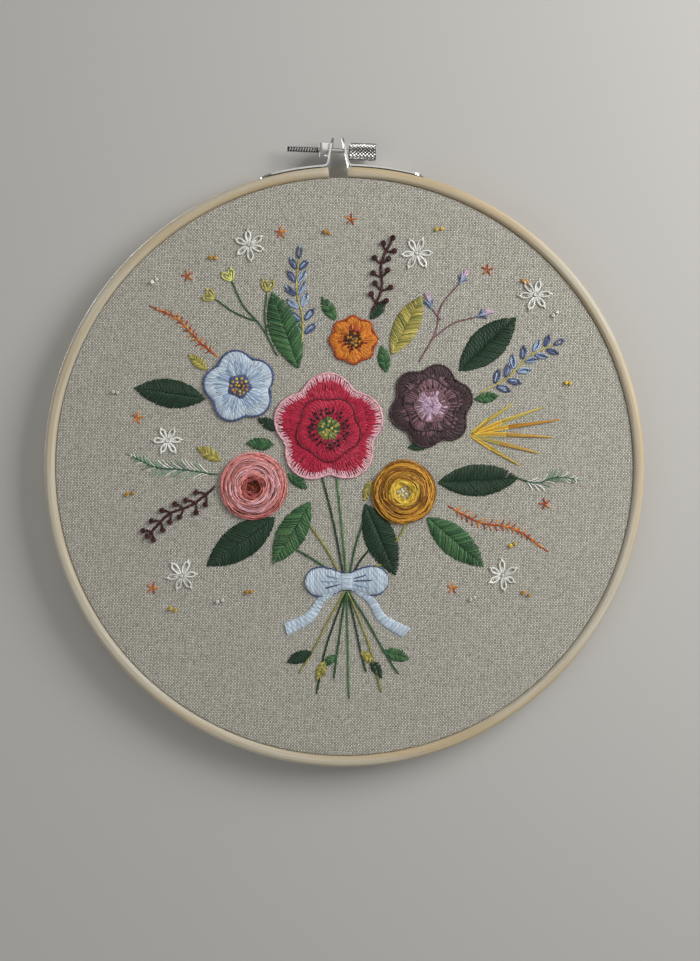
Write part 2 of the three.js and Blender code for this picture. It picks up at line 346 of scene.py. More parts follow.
def bent_wood(name, pale, warm, rough):
    material, tree, shader = open_material(name, Specular_IOR_Level=0.35)
    point = add(tree, "ShaderNodeTexCoord").outputs["Object"]
    grain = use_group(tree, bent_grain, Vector=point, Centre=HOOP_Z, Radius=RING_R)
    fibre = fitted(tree, grain["Fibre"], 0.34, 0.68)
    band = fitted(tree, grain["Band"], 0.4, 0.68)
    pore = fitted(tree, grain["Pore"], 0.66, 0.78)
    by_split = fitted(tree, parts_of(tree, point)["Z"], WARM_FROM, WARM_TO)
    band = calc(tree, "MINIMUM", plus(tree, band, times(tree, by_split, WARMER)), 1.0)
    shade = darkened(warm, 0.66)
    tint = blended(tree, times(tree, band, BAND_SHARE), pale, warm)
    tint = blended(tree, times(tree, fibre, FIBRE_SHARE), tint, shade)
    tint = blended(tree, times(tree, pore, PORE_SHARE), tint, shade)
    tree.links.new(tint, shader.inputs["Base Color"])
    tree.links.new(plus(tree, times(tree, fibre, 0.14), rough), shader.inputs["Roughness"])
    bumped(tree, shader, grain["Fibre"], 0.0002, 0.35)
    return material


ring_wood = bent_wood("ring wood", (0.50, 0.47, 0.39, 1), (0.45, 0.345, 0.195, 1), 0.44)
held_wood = bent_wood("held wood", (0.46, 0.41, 0.31, 1), (0.40, 0.31, 0.19, 1), 0.55)
print("wood:", ring_wood.name, "and", held_wood.name)

# %% [markdown]
# ### Linen
# Plain weave: each warp thread passes over and under each weft thread in turn, about 20 warp and
# 18 weft threads to a centimetre. Modelled threads would take millions of faces, so the weave is
# drawn in the finish. Every crossing has its own tone, the yarn thickens here and there, and the
# threads drift a little from a straight line. That unevenness is what makes it read as linen. The
# pattern follows the flat cut of the cloth, which is kept as its UV map in metres.

# %% Draw a plain weave
CROSSING_SHARE = 0.18
SLUB_SHARE = 0.34
# Painted light: warp threads on top are drawn lighter than weft threads, as if they caught more light.
WARP_PAINTED_LIGHT = 0.20

plain_weave, takes, gives = open_group(
    "Plain weave", {"Warp": 0.0004, "Weft": 0.0005}, ["Tone", "Height"])
place = parts_of(plain_weave, takes["Vector"])


def yarn(tree, side, pitch, run, other_pitch, sign):
    """Height and tone of one set of threads: side counts them, run goes along them."""
    count = calc(tree, "DIVIDE", side, pitch)
    index = calc(tree, "FLOOR", count)
    round_top = calc(tree, "SINE", times(tree, calc(tree, "FRACT", count), math.pi))
    cross = calc(tree, "DIVIDE", run, other_pitch)
    crossing = joined(tree, index, calc(tree, "FLOOR", cross), sign)
    own = add(tree, "ShaderNodeTexWhiteNoise", {"Vector": crossing}).outputs["Value"]
    slub = noise(tree, joined(tree, times(tree, index, 7.31), times(tree, run, 700), sign), 1.0, 2.0)
    tone = plus(tree, times(tree, own, CROSSING_SHARE), times(tree, slub, SLUB_SHARE))
    phase = plus(tree, calc(tree, "SUBTRACT", cross, 0.5), index)
    wave = calc(tree, "COSINE", times(tree, phase, math.pi))
    lift = times(tree, round_top, plus(tree, times(tree, wave, 0.5 * sign), 0.6))
    return lift, tone


warp_lift, warp_tone = yarn(plain_weave, place["X"], takes["Warp"], place["Y"], takes["Weft"], 1.0)
weft_lift, weft_tone = yarn(plain_weave, place["Y"], takes["Weft"], place["X"], takes["Warp"], -1.0)
warp_on_top = calc(plain_weave, "GREATER_THAN", warp_lift, weft_lift)
weft_on_top = calc(plain_weave, "SUBTRACT", 1.0, warp_on_top)
# The warp on top gets the painted light as well as its own tone.
warp_seen = times(plain_weave, warp_on_top, plus(plain_weave, warp_tone, WARP_PAINTED_LIGHT))
weft_seen = times(plain_weave, weft_on_top, weft_tone)
plain_weave.links.new(plus(plain_weave, warp_seen, weft_seen), gives["Tone"])
plain_weave.links.new(calc(plain_weave, "MAXIMUM", warp_lift, weft_lift), gives["Height"])
print("plain weave nodes:", len(plain_weave.nodes))

# %% Make the linen finish
WARP = 0.5 * MM
WEFT = 0.55 * MM
DRIFT = 0.5 * MM
WEAVE_SHADE_SHARE = 0.80
CLOUD_SHARE = 0.10

linen, tree, shader = open_material(
    "linen", Roughness=0.92, Specular_IOR_Level=0.2, Sheen_Weight=0.12, Sheen_Roughness=0.5)
cut = add(tree, "ShaderNodeUVMap", uv_map="cut").outputs[0]
strays = noise(tree, cut, 300.0, 1.0, gives="Color")
drift = add(tree, "ShaderNodeVectorMath", {0: strays, 1: (DRIFT, DRIFT, 0)}, operation="MULTIPLY")
wavy = add(tree, "ShaderNodeVectorMath", {0: cut, 1: drift.outputs[0]}, operation="ADD")
weave = use_group(tree, plain_weave, Vector=wavy.outputs[0], Warp=WARP, Weft=WEFT)
tone = fitted(tree, weave["Tone"], 0.10, 0.58)
# Painted shade: where the weave is low, between the threads, its colour is darkened.
hollow_shade = fitted(tree, weave["Height"], 0.85, 0.35)
cloudy = noise(tree, cut, 30.0, 3.0)
tint = blended(tree, tone, (0.19, 0.18, 0.146, 1), (0.88, 0.85, 0.75, 1))
tint = blended(tree, times(tree, hollow_shade, WEAVE_SHADE_SHARE), tint, (0.09, 0.085, 0.068, 1))
tint = blended(tree, times(tree, cloudy, CLOUD_SHARE), tint, (0.30, 0.28, 0.22, 1))
tree.links.new(tint, shader.inputs["Base Color"])
bumped(tree, shader, weave["Height"], 0.00024, 1.0)
print("threads to a centimetre:", round(0.01 / WARP, 1), "and", round(0.01 / WEFT, 1))

# %% [markdown]
# ### Nickel
# The clamp is plated steel. An even metal colour would look like plastic, so its shine drifts
# in soft patches and fine scratches run across it. The hollows of the knurl and the thread get
# painted shade: their colour is darkened almost to black.

# %% Make the nickel finish
NICKEL_SHADE_SHARE = 0.95
PATCH_ROUGH = 0.20
SCRATCH_ROUGH = 0.24

nickel, tree, shader = open_material("nickel", Metallic=1.0)
point = add(tree, "ShaderNodeTexCoord").outputs["Object"]
patch = noise(tree, point, 900.0, 3.0)
scratch = noise(tree, stretched(tree, point, (700, 9000, 700)), 1.0, 2.0)
# Painted shade: the hollows of the knurl and the thread are darkened almost to black.
hollow_shade = calc(tree, "MINIMUM", carried(tree, "hollow_shade"), 1.0)
tint = blended(tree, patch, (0.50, 0.49, 0.47, 1), (0.71, 0.70, 0.68, 1))
tint = blended(tree, times(tree, hollow_shade, NICKEL_SHADE_SHARE), tint, (0.03, 0.028, 0.025, 1))
tree.links.new(tint, shader.inputs["Base Color"])
rough = plus(tree, times(tree, patch, PATCH_ROUGH), times(tree, scratch, SCRATCH_ROUGH))
tree.links.new(rough, shader.inputs["Roughness"])
bumped(tree, shader, scratch, 0.00003, 0.25)
print("metal:", nickel.name)

# %% [markdown]
# ### Stranded cotton
# Embroidery cotton comes as loosely twisted strands, and a few of them are sewn as one. They
# show as slanting ridges along a stitch, with a soft shine, and each stitch has a tone of its
# own, which the mesh carries as an attribute. Ridges in the mesh would multiply its faces, so
# one shader group draws them for every colour. The grooves between them get painted shade.

# %% Draw the twist of a thread
thread_twist, takes, gives = open_group(
    "Thread twist", {"Turns": 0.45, "Strands": 3.0}, ["Ridge", "Fuzz"])
place = parts_of(thread_twist, takes["Vector"])
around = times(thread_twist, place["Y"], takes["Strands"])
slant = plus(thread_twist, around, times(thread_twist, place["X"], takes["Turns"]))
wave = calc(thread_twist, "COSINE", times(thread_twist, slant, 2 * math.pi))
thread_twist.links.new(plus(thread_twist, times(thread_twist, wave, 0.5), 0.5), gives["Ridge"])
fibres = stretched(thread_twist, takes["Vector"], (1.2, 22, 1))
thread_twist.links.new(noise(thread_twist, fibres, 1.0, 2.0), gives["Fuzz"])
print("thread twist nodes:", len(thread_twist.nodes))

# %% Name the threads
THREADS = {
    "crimson": ("#b01f3e", "thread_crimson"),
    "burgundy": ("#6e1226", "thread_crimson"),
    "blush": ("#e3a9b1", "thread_coral"),
    "coral": ("#d88c86", "thread_coral"),
    "rosewood": ("#a9544f", "thread_coral"),
    "brown": ("#4a1c14", "thread_berry"),
    "gold": ("#c08a2b", "thread_gold"),
    "amber": ("#8f5c1a", "thread_gold"),
    "lemon": ("#d8b640", "thread_gold"),
    "orange": ("#cf7c24", "thread_orange"),
    "rust": ("#a5451f", "thread_orange"),
    "plum": ("#402d30", "thread_plum"),
    "mauve": ("#7d5b63", "thread_plum"),
    "lilac": ("#bfa2b8", "thread_plum"),
    "ice": ("#bccbdc", "thread_ice"),
    "sky": ("#94a9c4", "thread_ice"),
    "slate": ("#4a567c", "thread_slate"),
    "white": ("#dcdad0", "thread_white"),
    "bottle": ("#1c3822", "thread_bottle"),
    "forest": ("#2c5532", "thread_green"),
    "green": ("#4a7245", "thread_green"),
    "sage": ("#8aa68e", "thread_green"),
    "olive": ("#8f8d46", "thread_olive"),
    "straw": ("#b9a95a", "thread_olive"),
    "lime": ("#c9cb72", "thread_olive"),
    "berry": ("#3c1418", "thread_berry"),
    "black": ("#16120f", "thread_berry"),
}
LEAFY = ("forest", "green")
DRY = ("olive", "straw")
RUSTY = ("rust", "orange")
FROSTY = ("sage", "white")
print("threads:", len(THREADS), "slots:", len({slot for code, slot in THREADS.values()}))

# %% Make the thread finishes
LIGHT_LOSS = 1.2
DEEP_SHARE = 0.56
LIGHT_SHARE = 1.24
LIGHT_LIFT = 0.006
GROOVE_SHADE_SHARE = 0.46
GROOVE_SHADE_DARK = 0.36


def linear(code):
    """The linear colour of a code such as #c08a2b."""
    parts = [int(code[i:i + 2], 16) / 255 for i in (1, 3, 5)]
    return [(c / 12.92 if c < 0.04045 else ((c + 0.055) / 1.055) ** 2.4) for c in parts]


def cotton(name, code):
    material, tree, shader = open_material(
        "cotton " + name, Roughness=0.5, Specular_IOR_Level=0.32, Sheen_Weight=0.06,
        Sheen_Roughness=0.4)
    strand = add(tree, "ShaderNodeUVMap", uv_map="strand").outputs[0]
    twist = use_group(tree, thread_twist, Vector=strand)
    color = [min(1.0, c * LIGHT_LOSS) for c in linear(code)]
    light = [min(1.0, LIGHT_SHARE * c + LIGHT_LIFT) for c in color] + [1]
    tint = blended(tree, carried(tree, "tone"), darkened(color, DEEP_SHARE), light)
    # Painted shade: the grooves between the strands are darkened towards a darker copy of the thread's
    # colour.
    groove_shade = times(tree, calc(tree, "SUBTRACT", 1.0, twist["Ridge"]), GROOVE_SHADE_SHARE)
    tint = blended(tree, groove_shade, tint, darkened(color, GROOVE_SHADE_DARK))
    tree.links.new(tint, shader.inputs["Base Color"])
    bumped(tree, shader, plus(tree, twist["Ridge"], times(tree, twist["Fuzz"], 0.5)), 0.00009, 0.8)
    return material


cottons = {name: cotton(name, code) for name, (code, slot) in THREADS.items()}
print("cottons:", len(cottons))

# %% [markdown]
# ## The rings
# A real ring is a bent strip. A torus would be round all over, so its section is drawn instead,
# as a rectangle with rounded corners that starts as one face. The operator called bevel rounds
# the corners and spin carries the section round the middle of the hoop. The outer ring stops
# short of a full turn: its two ends face each other across the split.

# %% Helpers that turn a bmesh into a finished piece
FULL_TURN = 2 * math.pi
hoop_middle = Vector((0, 0, HOOP_Z))


def hand_in(name, mesh, stands_for, body="hoop"):
    """Puts a mesh in the scene as a piece that rides on a body and replaces CAD nodes."""
    made = bpy.data.objects.new(name, mesh)
    bpy.context.scene.collection.objects.link(made)
    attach(made, body)
    if stands_for:
        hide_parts(*stands_for)
    return made


def piece(name, made, material, stands_for, body="hoop", sharp=40):
    mesh = bpy.data.meshes.new(name)
    made.to_mesh(mesh)
    made.free()
    mesh.materials.append(material)
    mesh.polygons.foreach_set("use_smooth", [True] * len(mesh.polygons))
    mesh.set_sharp_from_angle(angle=math.radians(sharp))
    print(name, "faces:", len(mesh.polygons))
    return hand_in(name, mesh, stands_for, body)


def turned(sheet, geom, middle, axis, steps, angle=FULL_TURN):
    """Spins geometry round an axis. A full turn closes on itself."""
    bmesh.ops.spin(sheet, geom=geom, cent=middle, axis=axis, dvec=(0, 0, 0), angle=angle,
                   steps=steps, use_merge=angle == FULL_TURN, use_duplicate=False)


def turned_line(sheet, places, middle, axis, steps):
    """A line of places, turned full circle, with what meets on the axis merged."""
    line = [sheet.verts.new(place) for place in places]
    for first, second in zip(line, line[1:]):
        sheet.edges.new((first, second))
    turned(sheet, sheet.edges[:] + sheet.verts[:], middle, axis, steps)
    bmesh.ops.remove_doubles(sheet, verts=sheet.verts[:], dist=1e-6)


def rounded(sheet, geom, size, segments, affect):
    bmesh.ops.bevel(sheet, geom=geom, offset=size, offset_type="OFFSET", affect=affect,
                    segments=segments, profile=0.5, material=-1, clamp_overlap=True)


print("helpers for pieces ready")

# %% Spin the split ring
RING_STEPS = 288
SPLIT_OUTER = 3.5 * MM
SPLIT_INNER = 3.1 * MM
FRONT_ROUND = 1.5 * MM
BACK_ROUND = 0.6 * MM
END_ROUND = 0.18 * MM


def ring_section(sheet, outer_r, front, back, turn=0.0):
    """The section of a ring as one face, turned clockwise from the top."""
    inner_r = outer_r - RING_WALL
    corners = [(inner_r, back), (outer_r, back), (outer_r, front), (inner_r, front)]
    sheet.faces.new([
        sheet.verts.new((r * math.sin(turn), y, HOOP_Z + r * math.cos(turn))) for r, y in corners
    ])


sheet = bmesh.new()
start = math.asin(SPLIT_OUTER / RING_R)
ring_section(sheet, RING_R, RING_FRONT, RING_BACK, start)
rounded(sheet, [v for v in sheet.verts if v.co.y < RING_FRONT / 2], FRONT_ROUND, 6, "VERTICES")
rounded(sheet, [v for v in sheet.verts if abs(v.co.y - RING_BACK) < 1e-6], BACK_ROUND, 3, "VERTICES")
everything = sheet.faces[:] + sheet.edges[:] + sheet.verts[:]
turned(sheet, everything, hoop_middle, (0, 1, 0), RING_STEPS, FULL_TURN - 2 * start)
ends = [f for f in sheet.faces if len(f.verts) > 4]
end_edges = {e for f in ends for e in f.edges}
for face in ends:
    for vert in face.verts:
        share = ((vert.co - hoop_middle).xz.length - RING_R + RING_WALL) / RING_WALL
        half = SPLIT_INNER + (SPLIT_OUTER - SPLIT_INNER) * share
        vert.co.x = math.copysign(half, vert.co.x)
rounded(sheet, list(end_edges), END_ROUND, 2, "EDGES")
bmesh.ops.recalc_face_normals(sheet, faces=sheet.faces[:])
print("ends of the split ring:", len(ends))
piece("split_ring", sheet, ring_wood, ["outer_ring"])

# %% Spin the whole ring
sheet = bmesh.new()
ring_section(sheet, INNER_R, inner_low[1], inner_high[1])
rounded(sheet, sheet.verts[:], BACK_ROUND, 3, "VERTICES")
bmesh.ops.delete(sheet, geom=sheet.faces[:], context="FACES_ONLY")
turned(sheet, sheet.edges[:] + sheet.verts[:], hoop_middle, (0, 1, 0), RING_STEPS)
bmesh.ops.recalc_face_normals(sheet, faces=sheet.faces[:])
piece("whole_ring", sheet, held_wood, ["inner_ring"])

# %% [markdown]
# ## The linen
# The linen is pulled tight over the inner ring, down its outside and back between the rings. A
# cloth simulation would only find that same flat face again, so the sheet is drawn as half of
# its section, from the middle out. Spin closes it into a shallow cap, and solidify gives it its
# thickness. The pull of the stitches leaves the face uneven by up to a tenth of a millimetre.

# %% Draw the section of the linen
SKIRT_DEEP = CLOTH_BACK_EDGE - CLOTH_FRONT
EDGE_ROLL = 0.6 * MM
ROLL_STEPS = 5
SNUG = 0.26 * MM
SHEET_R = CLOTH_R + SNUG
LINEN_ROWS = 34

section = [((SHEET_R - EDGE_ROLL) * i / LINEN_ROWS, CLOTH_FRONT) for i in range(LINEN_ROWS + 1)]
for step in range(1, ROLL_STEPS + 1):
    a = math.pi / 2 * step / ROLL_STEPS
    roll_r = SHEET_R - EDGE_ROLL * (1 - math.sin(a))
    section.append((roll_r, CLOTH_FRONT + EDGE_ROLL * (1 - math.cos(a))))
section += [(SHEET_R, CLOTH_FRONT + SKIRT_DEEP / 2), (SHEET_R, CLOTH_BACK_EDGE)]
print("places in the section:", len(section))

# %% Stretch the linen
LINEN_STEPS = 192
UNEVEN = 0.05 * MM


def unevenness(x, z):
    """How far the face stands out at a point, in metres, fading to nothing at the rim."""
    reach = math.hypot(x, z) / SHEET_R
    ripple = math.sin(61 * x + 23 * z) + 0.7 * math.sin(97 * z - 41 * x + 1.3)
    ripple += 0.5 * math.sin(150 * x + 2.1)
    return UNEVEN * ripple * max(0.0, 1 - reach ** 4)


sheet = bmesh.new()
turned_line(sheet, [(r, y, HOOP_Z) for r, y in section], hoop_middle, (0, 1, 0), LINEN_STEPS)
for vert in sheet.verts:
    if vert.co.y < CLOTH_FRONT + 0.01 * MM:
        vert.co.y -= unevenness(vert.co.x, vert.co.z - HOOP_Z)
bmesh.ops.recalc_face_normals(sheet, faces=sheet.faces[:])
if sum(f.normal.y * f.calc_area() for f in sheet.faces) > 0:
    bmesh.ops.reverse_faces(sheet, faces=sheet.faces[:])
bmesh.ops.solidify(sheet, geom=sheet.faces[:], thickness=LINEN_THICK)
cut_map = sheet.loops.layers.uv.new("cut")
for face in sheet.faces:
    for corner in face.loops:
        spot = corner.vert.co - hoop_middle
        reach = max(math.hypot(spot.x, spot.z), 1e-9)
        longer = 1 + max(0.0, spot.y - CLOTH_FRONT - EDGE_ROLL) / reach
        corner[cut_map].uv = (spot.x * longer, spot.z * longer)
linen_sheet = piece("linen_sheet", sheet, linen, ["cloth"])

# %% [markdown]
# ## The clamp
# The two bent strips and the nut already have their true shape as solids, so copies of them
# only need their edges broken. The screw is turned again with a real helix for its thread and
# a diamond knurl on its head. Cutting each groove with a boolean would leave poor faces, so spin
# makes a plain shaft with close rows, and each row is then pushed in or out by a formula.

# %% Break the edges of the strips and the nut
SHARP_FROM = math.radians(40)
STRIP_EDGE = 0.07 * MM
NUT_EDGE = 0.18 * MM


def softened_copy(node, name, size):
    """A copy of a CAD node's mesh with its edges broken."""
    sheet = bmesh.new()
    sheet.from_mesh(frame["nodes"][node].data)
    bmesh.ops.remove_doubles(sheet, verts=sheet.verts[:], dist=2e-6)
    bmesh.ops.dissolve_limit(sheet, angle_limit=math.radians(0.5), verts=sheet.verts[:],
                             edges=sheet.edges[:])
    between = [e for e in sheet.edges if len(e.link_faces) == 2]
    rounded(sheet, [e for e in between if e.calc_face_angle() > SHARP_FROM], size, 2, "EDGES")
    bmesh.ops.dissolve_degenerate(sheet, dist=2e-6, edges=sheet.edges[:])
    return piece(name, sheet, nickel, [node], sharp=35)


softened_copy("bracket_right", "strip_right", STRIP_EDGE)
softened_copy("bracket_left", "strip_left", STRIP_EDGE)
softened_copy("nut", "square_nut", NUT_EDGE)

# %% Give the thread and the knurl a formula
THREAD_START = -17.5 * MM
THREAD_END = -6.7 * MM
HEAD_START = 3.75 * MM
HEAD_END = 13.1 * MM
SHAFT_R = 0.8 * MM
CREST_R = 0.95 * MM
HEAD_R = 2.95 * MM
PITCH = 0.9 * MM
KNURLS = 15
KNURL_DEEP = 0.30 * MM


def triangle(x):
    return abs((x % 1.0) * 2 - 1)


def thread_r(x, a):
    """Radius of the thread at a place along the shaft and an angle round it."""
    fade = min(1.0, (x - THREAD_START) / PITCH, max(0.0, (THREAD_END - x) / PITCH))
    return SHAFT_R + (CREST_R - SHAFT_R) * max(0.0, fade) * triangle(x / PITCH - a / FULL_TURN)


def knurl_r(x, a):
    """Radius of the head, where two sets of slanting grooves cross."""
    turn = a / FULL_TURN * KNURLS
    run = (x - HEAD_START) / (FULL_TURN * HEAD_R / KNURLS)
    cut = min(triangle(turn + run), triangle(turn - run))
    return HEAD_R - KNURL_DEEP * (1 - min(1.0, 1.5 * cut))


print("turns of thread:", round((THREAD_END - THREAD_START) / PITCH, 1), "knurls:", KNURLS)

# %% Turn the thumbscrew
SCREW_STEPS = 150
THREAD_ROW = 0.1 * MM
HEAD_ROW = 0.11 * MM
HEAD_NECK_R = HEAD_R - 0.55 * MM
HEAD_END_R = HEAD_R - 0.5 * MM
HEAD_DOME_R = HEAD_R - 0.8 * MM
HEAD_DOME = 0.05 * MM


def shade_of_hollows(deep, full, gain, start):
    """Painted shade in the hollows: more with their share of the full depth, none where shallow."""
    return max(0.0, gain * deep / full - start)


rows = [(THREAD_START, 0.0), (THREAD_START, SHAFT_R * 0.9)]
rows += [(x, SHAFT_R) for x in np.arange(THREAD_START + THREAD_ROW / 2, THREAD_END, THREAD_ROW)]
rows += [(THREAD_END, SHAFT_R), (HEAD_START, SHAFT_R), (HEAD_START, HEAD_NECK_R)]
rows += [(x, HEAD_R) for x in np.arange(HEAD_START + 0.3 * MM, HEAD_END - 0.25 * MM, HEAD_ROW)]
rows += [(HEAD_END, HEAD_END_R), (HEAD_END, HEAD_DOME_R), (HEAD_END + HEAD_DOME, 0.0)]
sheet = bmesh.new()
turned_line(sheet, [(x, 0, r) for x, r in rows], (0, 0, 0), (1, 0, 0), SCREW_STEPS)
# Each corner keeps the painted shade of the hollows it lies in, for the nickel finish.
painted_shade_map = sheet.verts.layers.float.new("hollow_shade")
for vert in sheet.verts:
    reach = math.hypot(vert.co.y, vert.co.z)
    a = math.atan2(vert.co.y, vert.co.z)
    new_reach = reach
    if THREAD_START < vert.co.x < THREAD_END and abs(reach - SHAFT_R) < 1e-6:
        new_reach = thread_r(vert.co.x, a)
        vert[painted_shade_map] = shade_of_hollows(CREST_R - new_reach, CREST_R - SHAFT_R, 1.9, 0.3)
    elif reach > HEAD_R - 0.1 * MM:
        new_reach = knurl_r(vert.co.x, a)
        vert[painted_shade_map] = shade_of_hollows(HEAD_R - new_reach, KNURL_DEEP, 2.2, 0.6)
    if reach > 1e-7:
        vert.co.y *= new_reach / reach
        vert.co.z *= new_reach / reach
bmesh.ops.recalc_face_normals(sheet, faces=sheet.faces[:])
turning = frame["joints"][0]
axis = Vector(turning["axis"]).normalized()
lean = Vector((1, 0, 0)).rotation_difference(axis).to_matrix().to_4x4()
in_place = Matrix.Translation(Vector(turning["pos_m"])) @ lean
bmesh.ops.transform(sheet, matrix=in_place, verts=sheet.verts[:])
piece("knurled_screw", sheet, nickel, ["thumbscrew"], body="screw", sharp=30)

# %% [markdown]
# ## Stitches
# In a stitch the thread comes up through the linen, lies on top and goes down again. Hundreds of
# them make a flower. Curves with a bevel would be slow to convert one by one, so each stitch is
# a thin tube of a few dozen faces, called a strand here, and all strands of one flower become one
# mesh. A strand is kept as a list of places, each with x, z and a height above the linen in
# millimetres, with its thread, its radius and its own tone.

# %% Lay one strand
STRAND_R = 0.25
LIE = np.array([0.0, 0.05, 0.17, 0.38, 0.62, 0.83, 0.95, 1.0])
RISE = np.array([-1.5, -0.2, 0.55, 0.8, 0.8, 0.55, -0.2, -1.5])


def toward(angle):
    """A step of length 1, with its angle in radians from +x."""
    return np.array([math.cos(angle), math.sin(angle)])


def aside(way):
    """A step turned to the left by a quarter turn."""
    return np.array([-way[1], way[0]])


def pick(thread):
    """A thread, or one of several that are mixed in a row."""
    return thread if isinstance(thread, str) else thread[rng.integers(len(thread))]


def lay(work, spots, thread, radius, tone=None):
    own = rng.uniform(0.15, 0.85) if tone is None else tone
    work.append((np.asarray(spots, float), pick(thread), radius, own))


def padding(over, places):
    if callable(over):
        return np.array([over(x, z) for x, z in places])
    return np.full(len(places), float(over))


def straight(work, start, end, thread, radius=STRAND_R, over=0.0, bend=0.0):
    """A straight stitch between two places, on padding whose height is a number or a function."""
    start, end = np.array(start, float), np.array(end, float)
    run = end - start
    left = aside(run) / max(np.hypot(*run), 1e-6)
    stray = (bend + rng.normal(0, 0.03)) * np.sin(np.pi * LIE)
    places = start + run * LIE[:, None] + left * stray[:, None]
    height = padding(over, places) + RISE * radius
    lay(work, np.column_stack([places, height]), thread, radius)


print("a plain stitch is", 2 * STRAND_R, "mm thick")

# %% [markdown]
# A stem bends, so its line is drawn as a smooth curve through a few places. Stem stitch then
# lays short strands along it, each starting halfway beside the last one, like a rope.

# %% Follow a curve
LINE_STEP = 0.4
REACH_EACH_WAY = 0.3


def smooth_line(places):
    """A curve through a few places, as many close ones."""
    knots = np.array(places, float)
    knots = np.vstack([2 * knots[0] - knots[1], knots, 2 * knots[-1] - knots[-2]])
    line = []
    for a, b, c, d in zip(knots, knots[1:], knots[2:], knots[3:]):
        for t in np.arange(0, 1, LINE_STEP / max(np.hypot(*(c - b)), LINE_STEP)):
            line.append(0.5 * (2 * b + (c - a) * t + (2 * a - 5 * b + 4 * c - d) * t ** 2
                               + (3 * b - a - 3 * c + d) * t ** 3))
    line.append(knots[-2])
    return np.array(line)


def walk(line):
    """Returns a function that gives the place and the direction at a length along a line."""
    lengths = np.concatenate([[0], np.cumsum(np.hypot(*np.diff(line, axis=0).T))])

    def place_at(length):
        return np.array([np.interp(length, lengths, line[:, k]) for k in (0, 1)])

    def at(length):
        way = place_at(length + REACH_EACH_WAY) - place_at(length - REACH_EACH_WAY)
        return place_at(length), way / max(np.hypot(*way), 1e-9)

    return at, lengths[-1]


print("places on a line of 100 mm:", len(smooth_line([(0, 0), (100, 0)])))

# %% Sew along a curve
def stem_stitch(work, places, thread, radius, over=0.0, step=1.7):
    at, total = walk(smooth_line(places))
    for start in np.arange(-0.4 * step, total - step, step):
        ends = []
        for length, side in ((max(start, 0), -0.5), (min(start + 2 * step, total), 0.5)):
            here, way = at(length)
            ends.append(here + side * radius * aside(way))
        straight(work, ends[0], ends[1], thread, radius, over)


def outline_stitch(work, places, thread, radius, over, step=1.5):
    """Back stitch: strands end to end along a line."""
    at, total = walk(np.array(places, float))
    count = max(2, round(total / step))
    for k in range(count):
        straight(work, at(total * k / count)[0], at(total * (k + 1) / count)[0], thread, radius, over)


print("stem stitch and outline stitch ready")

# %% [markdown]
# A French knot is thread wound twice round the needle and pulled down: a small coil with a
# dimple. A lazy daisy is a loop held at its tip by a tack stitch. Coil and loop are strands that
# follow a formula, like every other stitch, so they need no shapes of their own.

# %% Knots and loops
KNOT_WINDS = 2.1
KNOT_STEPS = 12
KNOT_WIDE = 0.72
KNOT_NARROWS = 0.22
KNOT_LOW = 0.35
KNOT_RISE = 0.85
KNOT_DIMPLE = 0.55
KNOT_THREAD = 0.46
LOOP_STEPS = 12
LOOP_ENDS = -1.2
LOOP_LIES = 0.85


def knot(work, place, thread, size, over=0.0):
    place = np.array(place, float)
    first = rng.uniform(0, 2 * math.pi)
    spots = [(*place, over - 0.3)]
    for k in range(KNOT_STEPS + 1):
        a = first + k * 2 * math.pi * KNOT_WINDS / KNOT_STEPS
        reach = size * (KNOT_WIDE - KNOT_NARROWS * k / KNOT_STEPS)
        height = over + size * (KNOT_LOW + KNOT_RISE * k / KNOT_STEPS)
        spots.append((*(place + reach * toward(a)), height))
    spots.append((*place, over + size * KNOT_DIMPLE))
    lay(work, spots, thread, size * KNOT_THREAD)


def loop(work, start, angle, length, thread, width, radius):
    """A lazy daisy from start towards angle, in radians."""
    start = np.array(start)
    way = toward(angle)
    spots = []
    for k in range(LOOP_STEPS + 1):
        t = k / LOOP_STEPS
        out = 0.5 * (1 - math.cos(2 * math.pi * t)) * length
        across = width * length * math.sin(2 * math.pi * t) * (0.35 + 0.65 * out / length)
        low = radius * (LOOP_ENDS if k in (0, LOOP_STEPS) else LOOP_LIES)
        spots.append((*(start + out * way + across * aside(way)), low))
    lay(work, spots, thread, radius)
    tip = start + way * length
    straight(work, tip - way * 0.35, tip + way * 0.7, thread, radius * 0.9, over=0.25)


print("places of a knot:", KNOT_STEPS + 3, "places of a loop:", LOOP_STEPS + 1)

# %% [markdown]
# When a stitch ends, the needle travels behind the linen to the next one. Those runs are what
# the back of the work shows, so two stitches of one thread that follow each other closely get
# one between them.

# %% Runs behind the linen
BEHIND = -(LINEN_THICK / MM) - 0.16
SHORTEST_RUN = 0.5
LONGEST_RUN = 14.0
RUN_SHAPE = [(0.0, BEHIND + 0.35), (0.12, BEHIND - 0.05), (0.88, BEHIND - 0.05), (1.0, BEHIND + 0.35)]


def hidden_runs(work):
    runs = []
    for (before, thread, radius, tone), (after, next_thread, _, _) in zip(work, work[1:]):
        start, end = before[-1][:2], after[0][:2]
        far = np.hypot(*(end - start))
        if thread == next_thread and SHORTEST_RUN < far < LONGEST_RUN:
            spots = [(*(start + (end - start) * t), height) for t, height in RUN_SHAPE]
            runs.append((np.array(spots), thread, radius * 0.9, tone))
    return runs


print("runs lie at a height of mm", round(BEHIND, 2))

# %% [markdown]
# All strands with the same number of places are turned into tubes together, with arrays, because
# an operator for each of thousands of strands would take minutes. The map called strand runs
# along each tube and once round it, and the attribute called tone gives each its own shade.

# %% Shape the tubes
SIDES = 6
FLATTER = 0.86
ROUND = 2 * np.pi * np.arange(SIDES) / SIDES


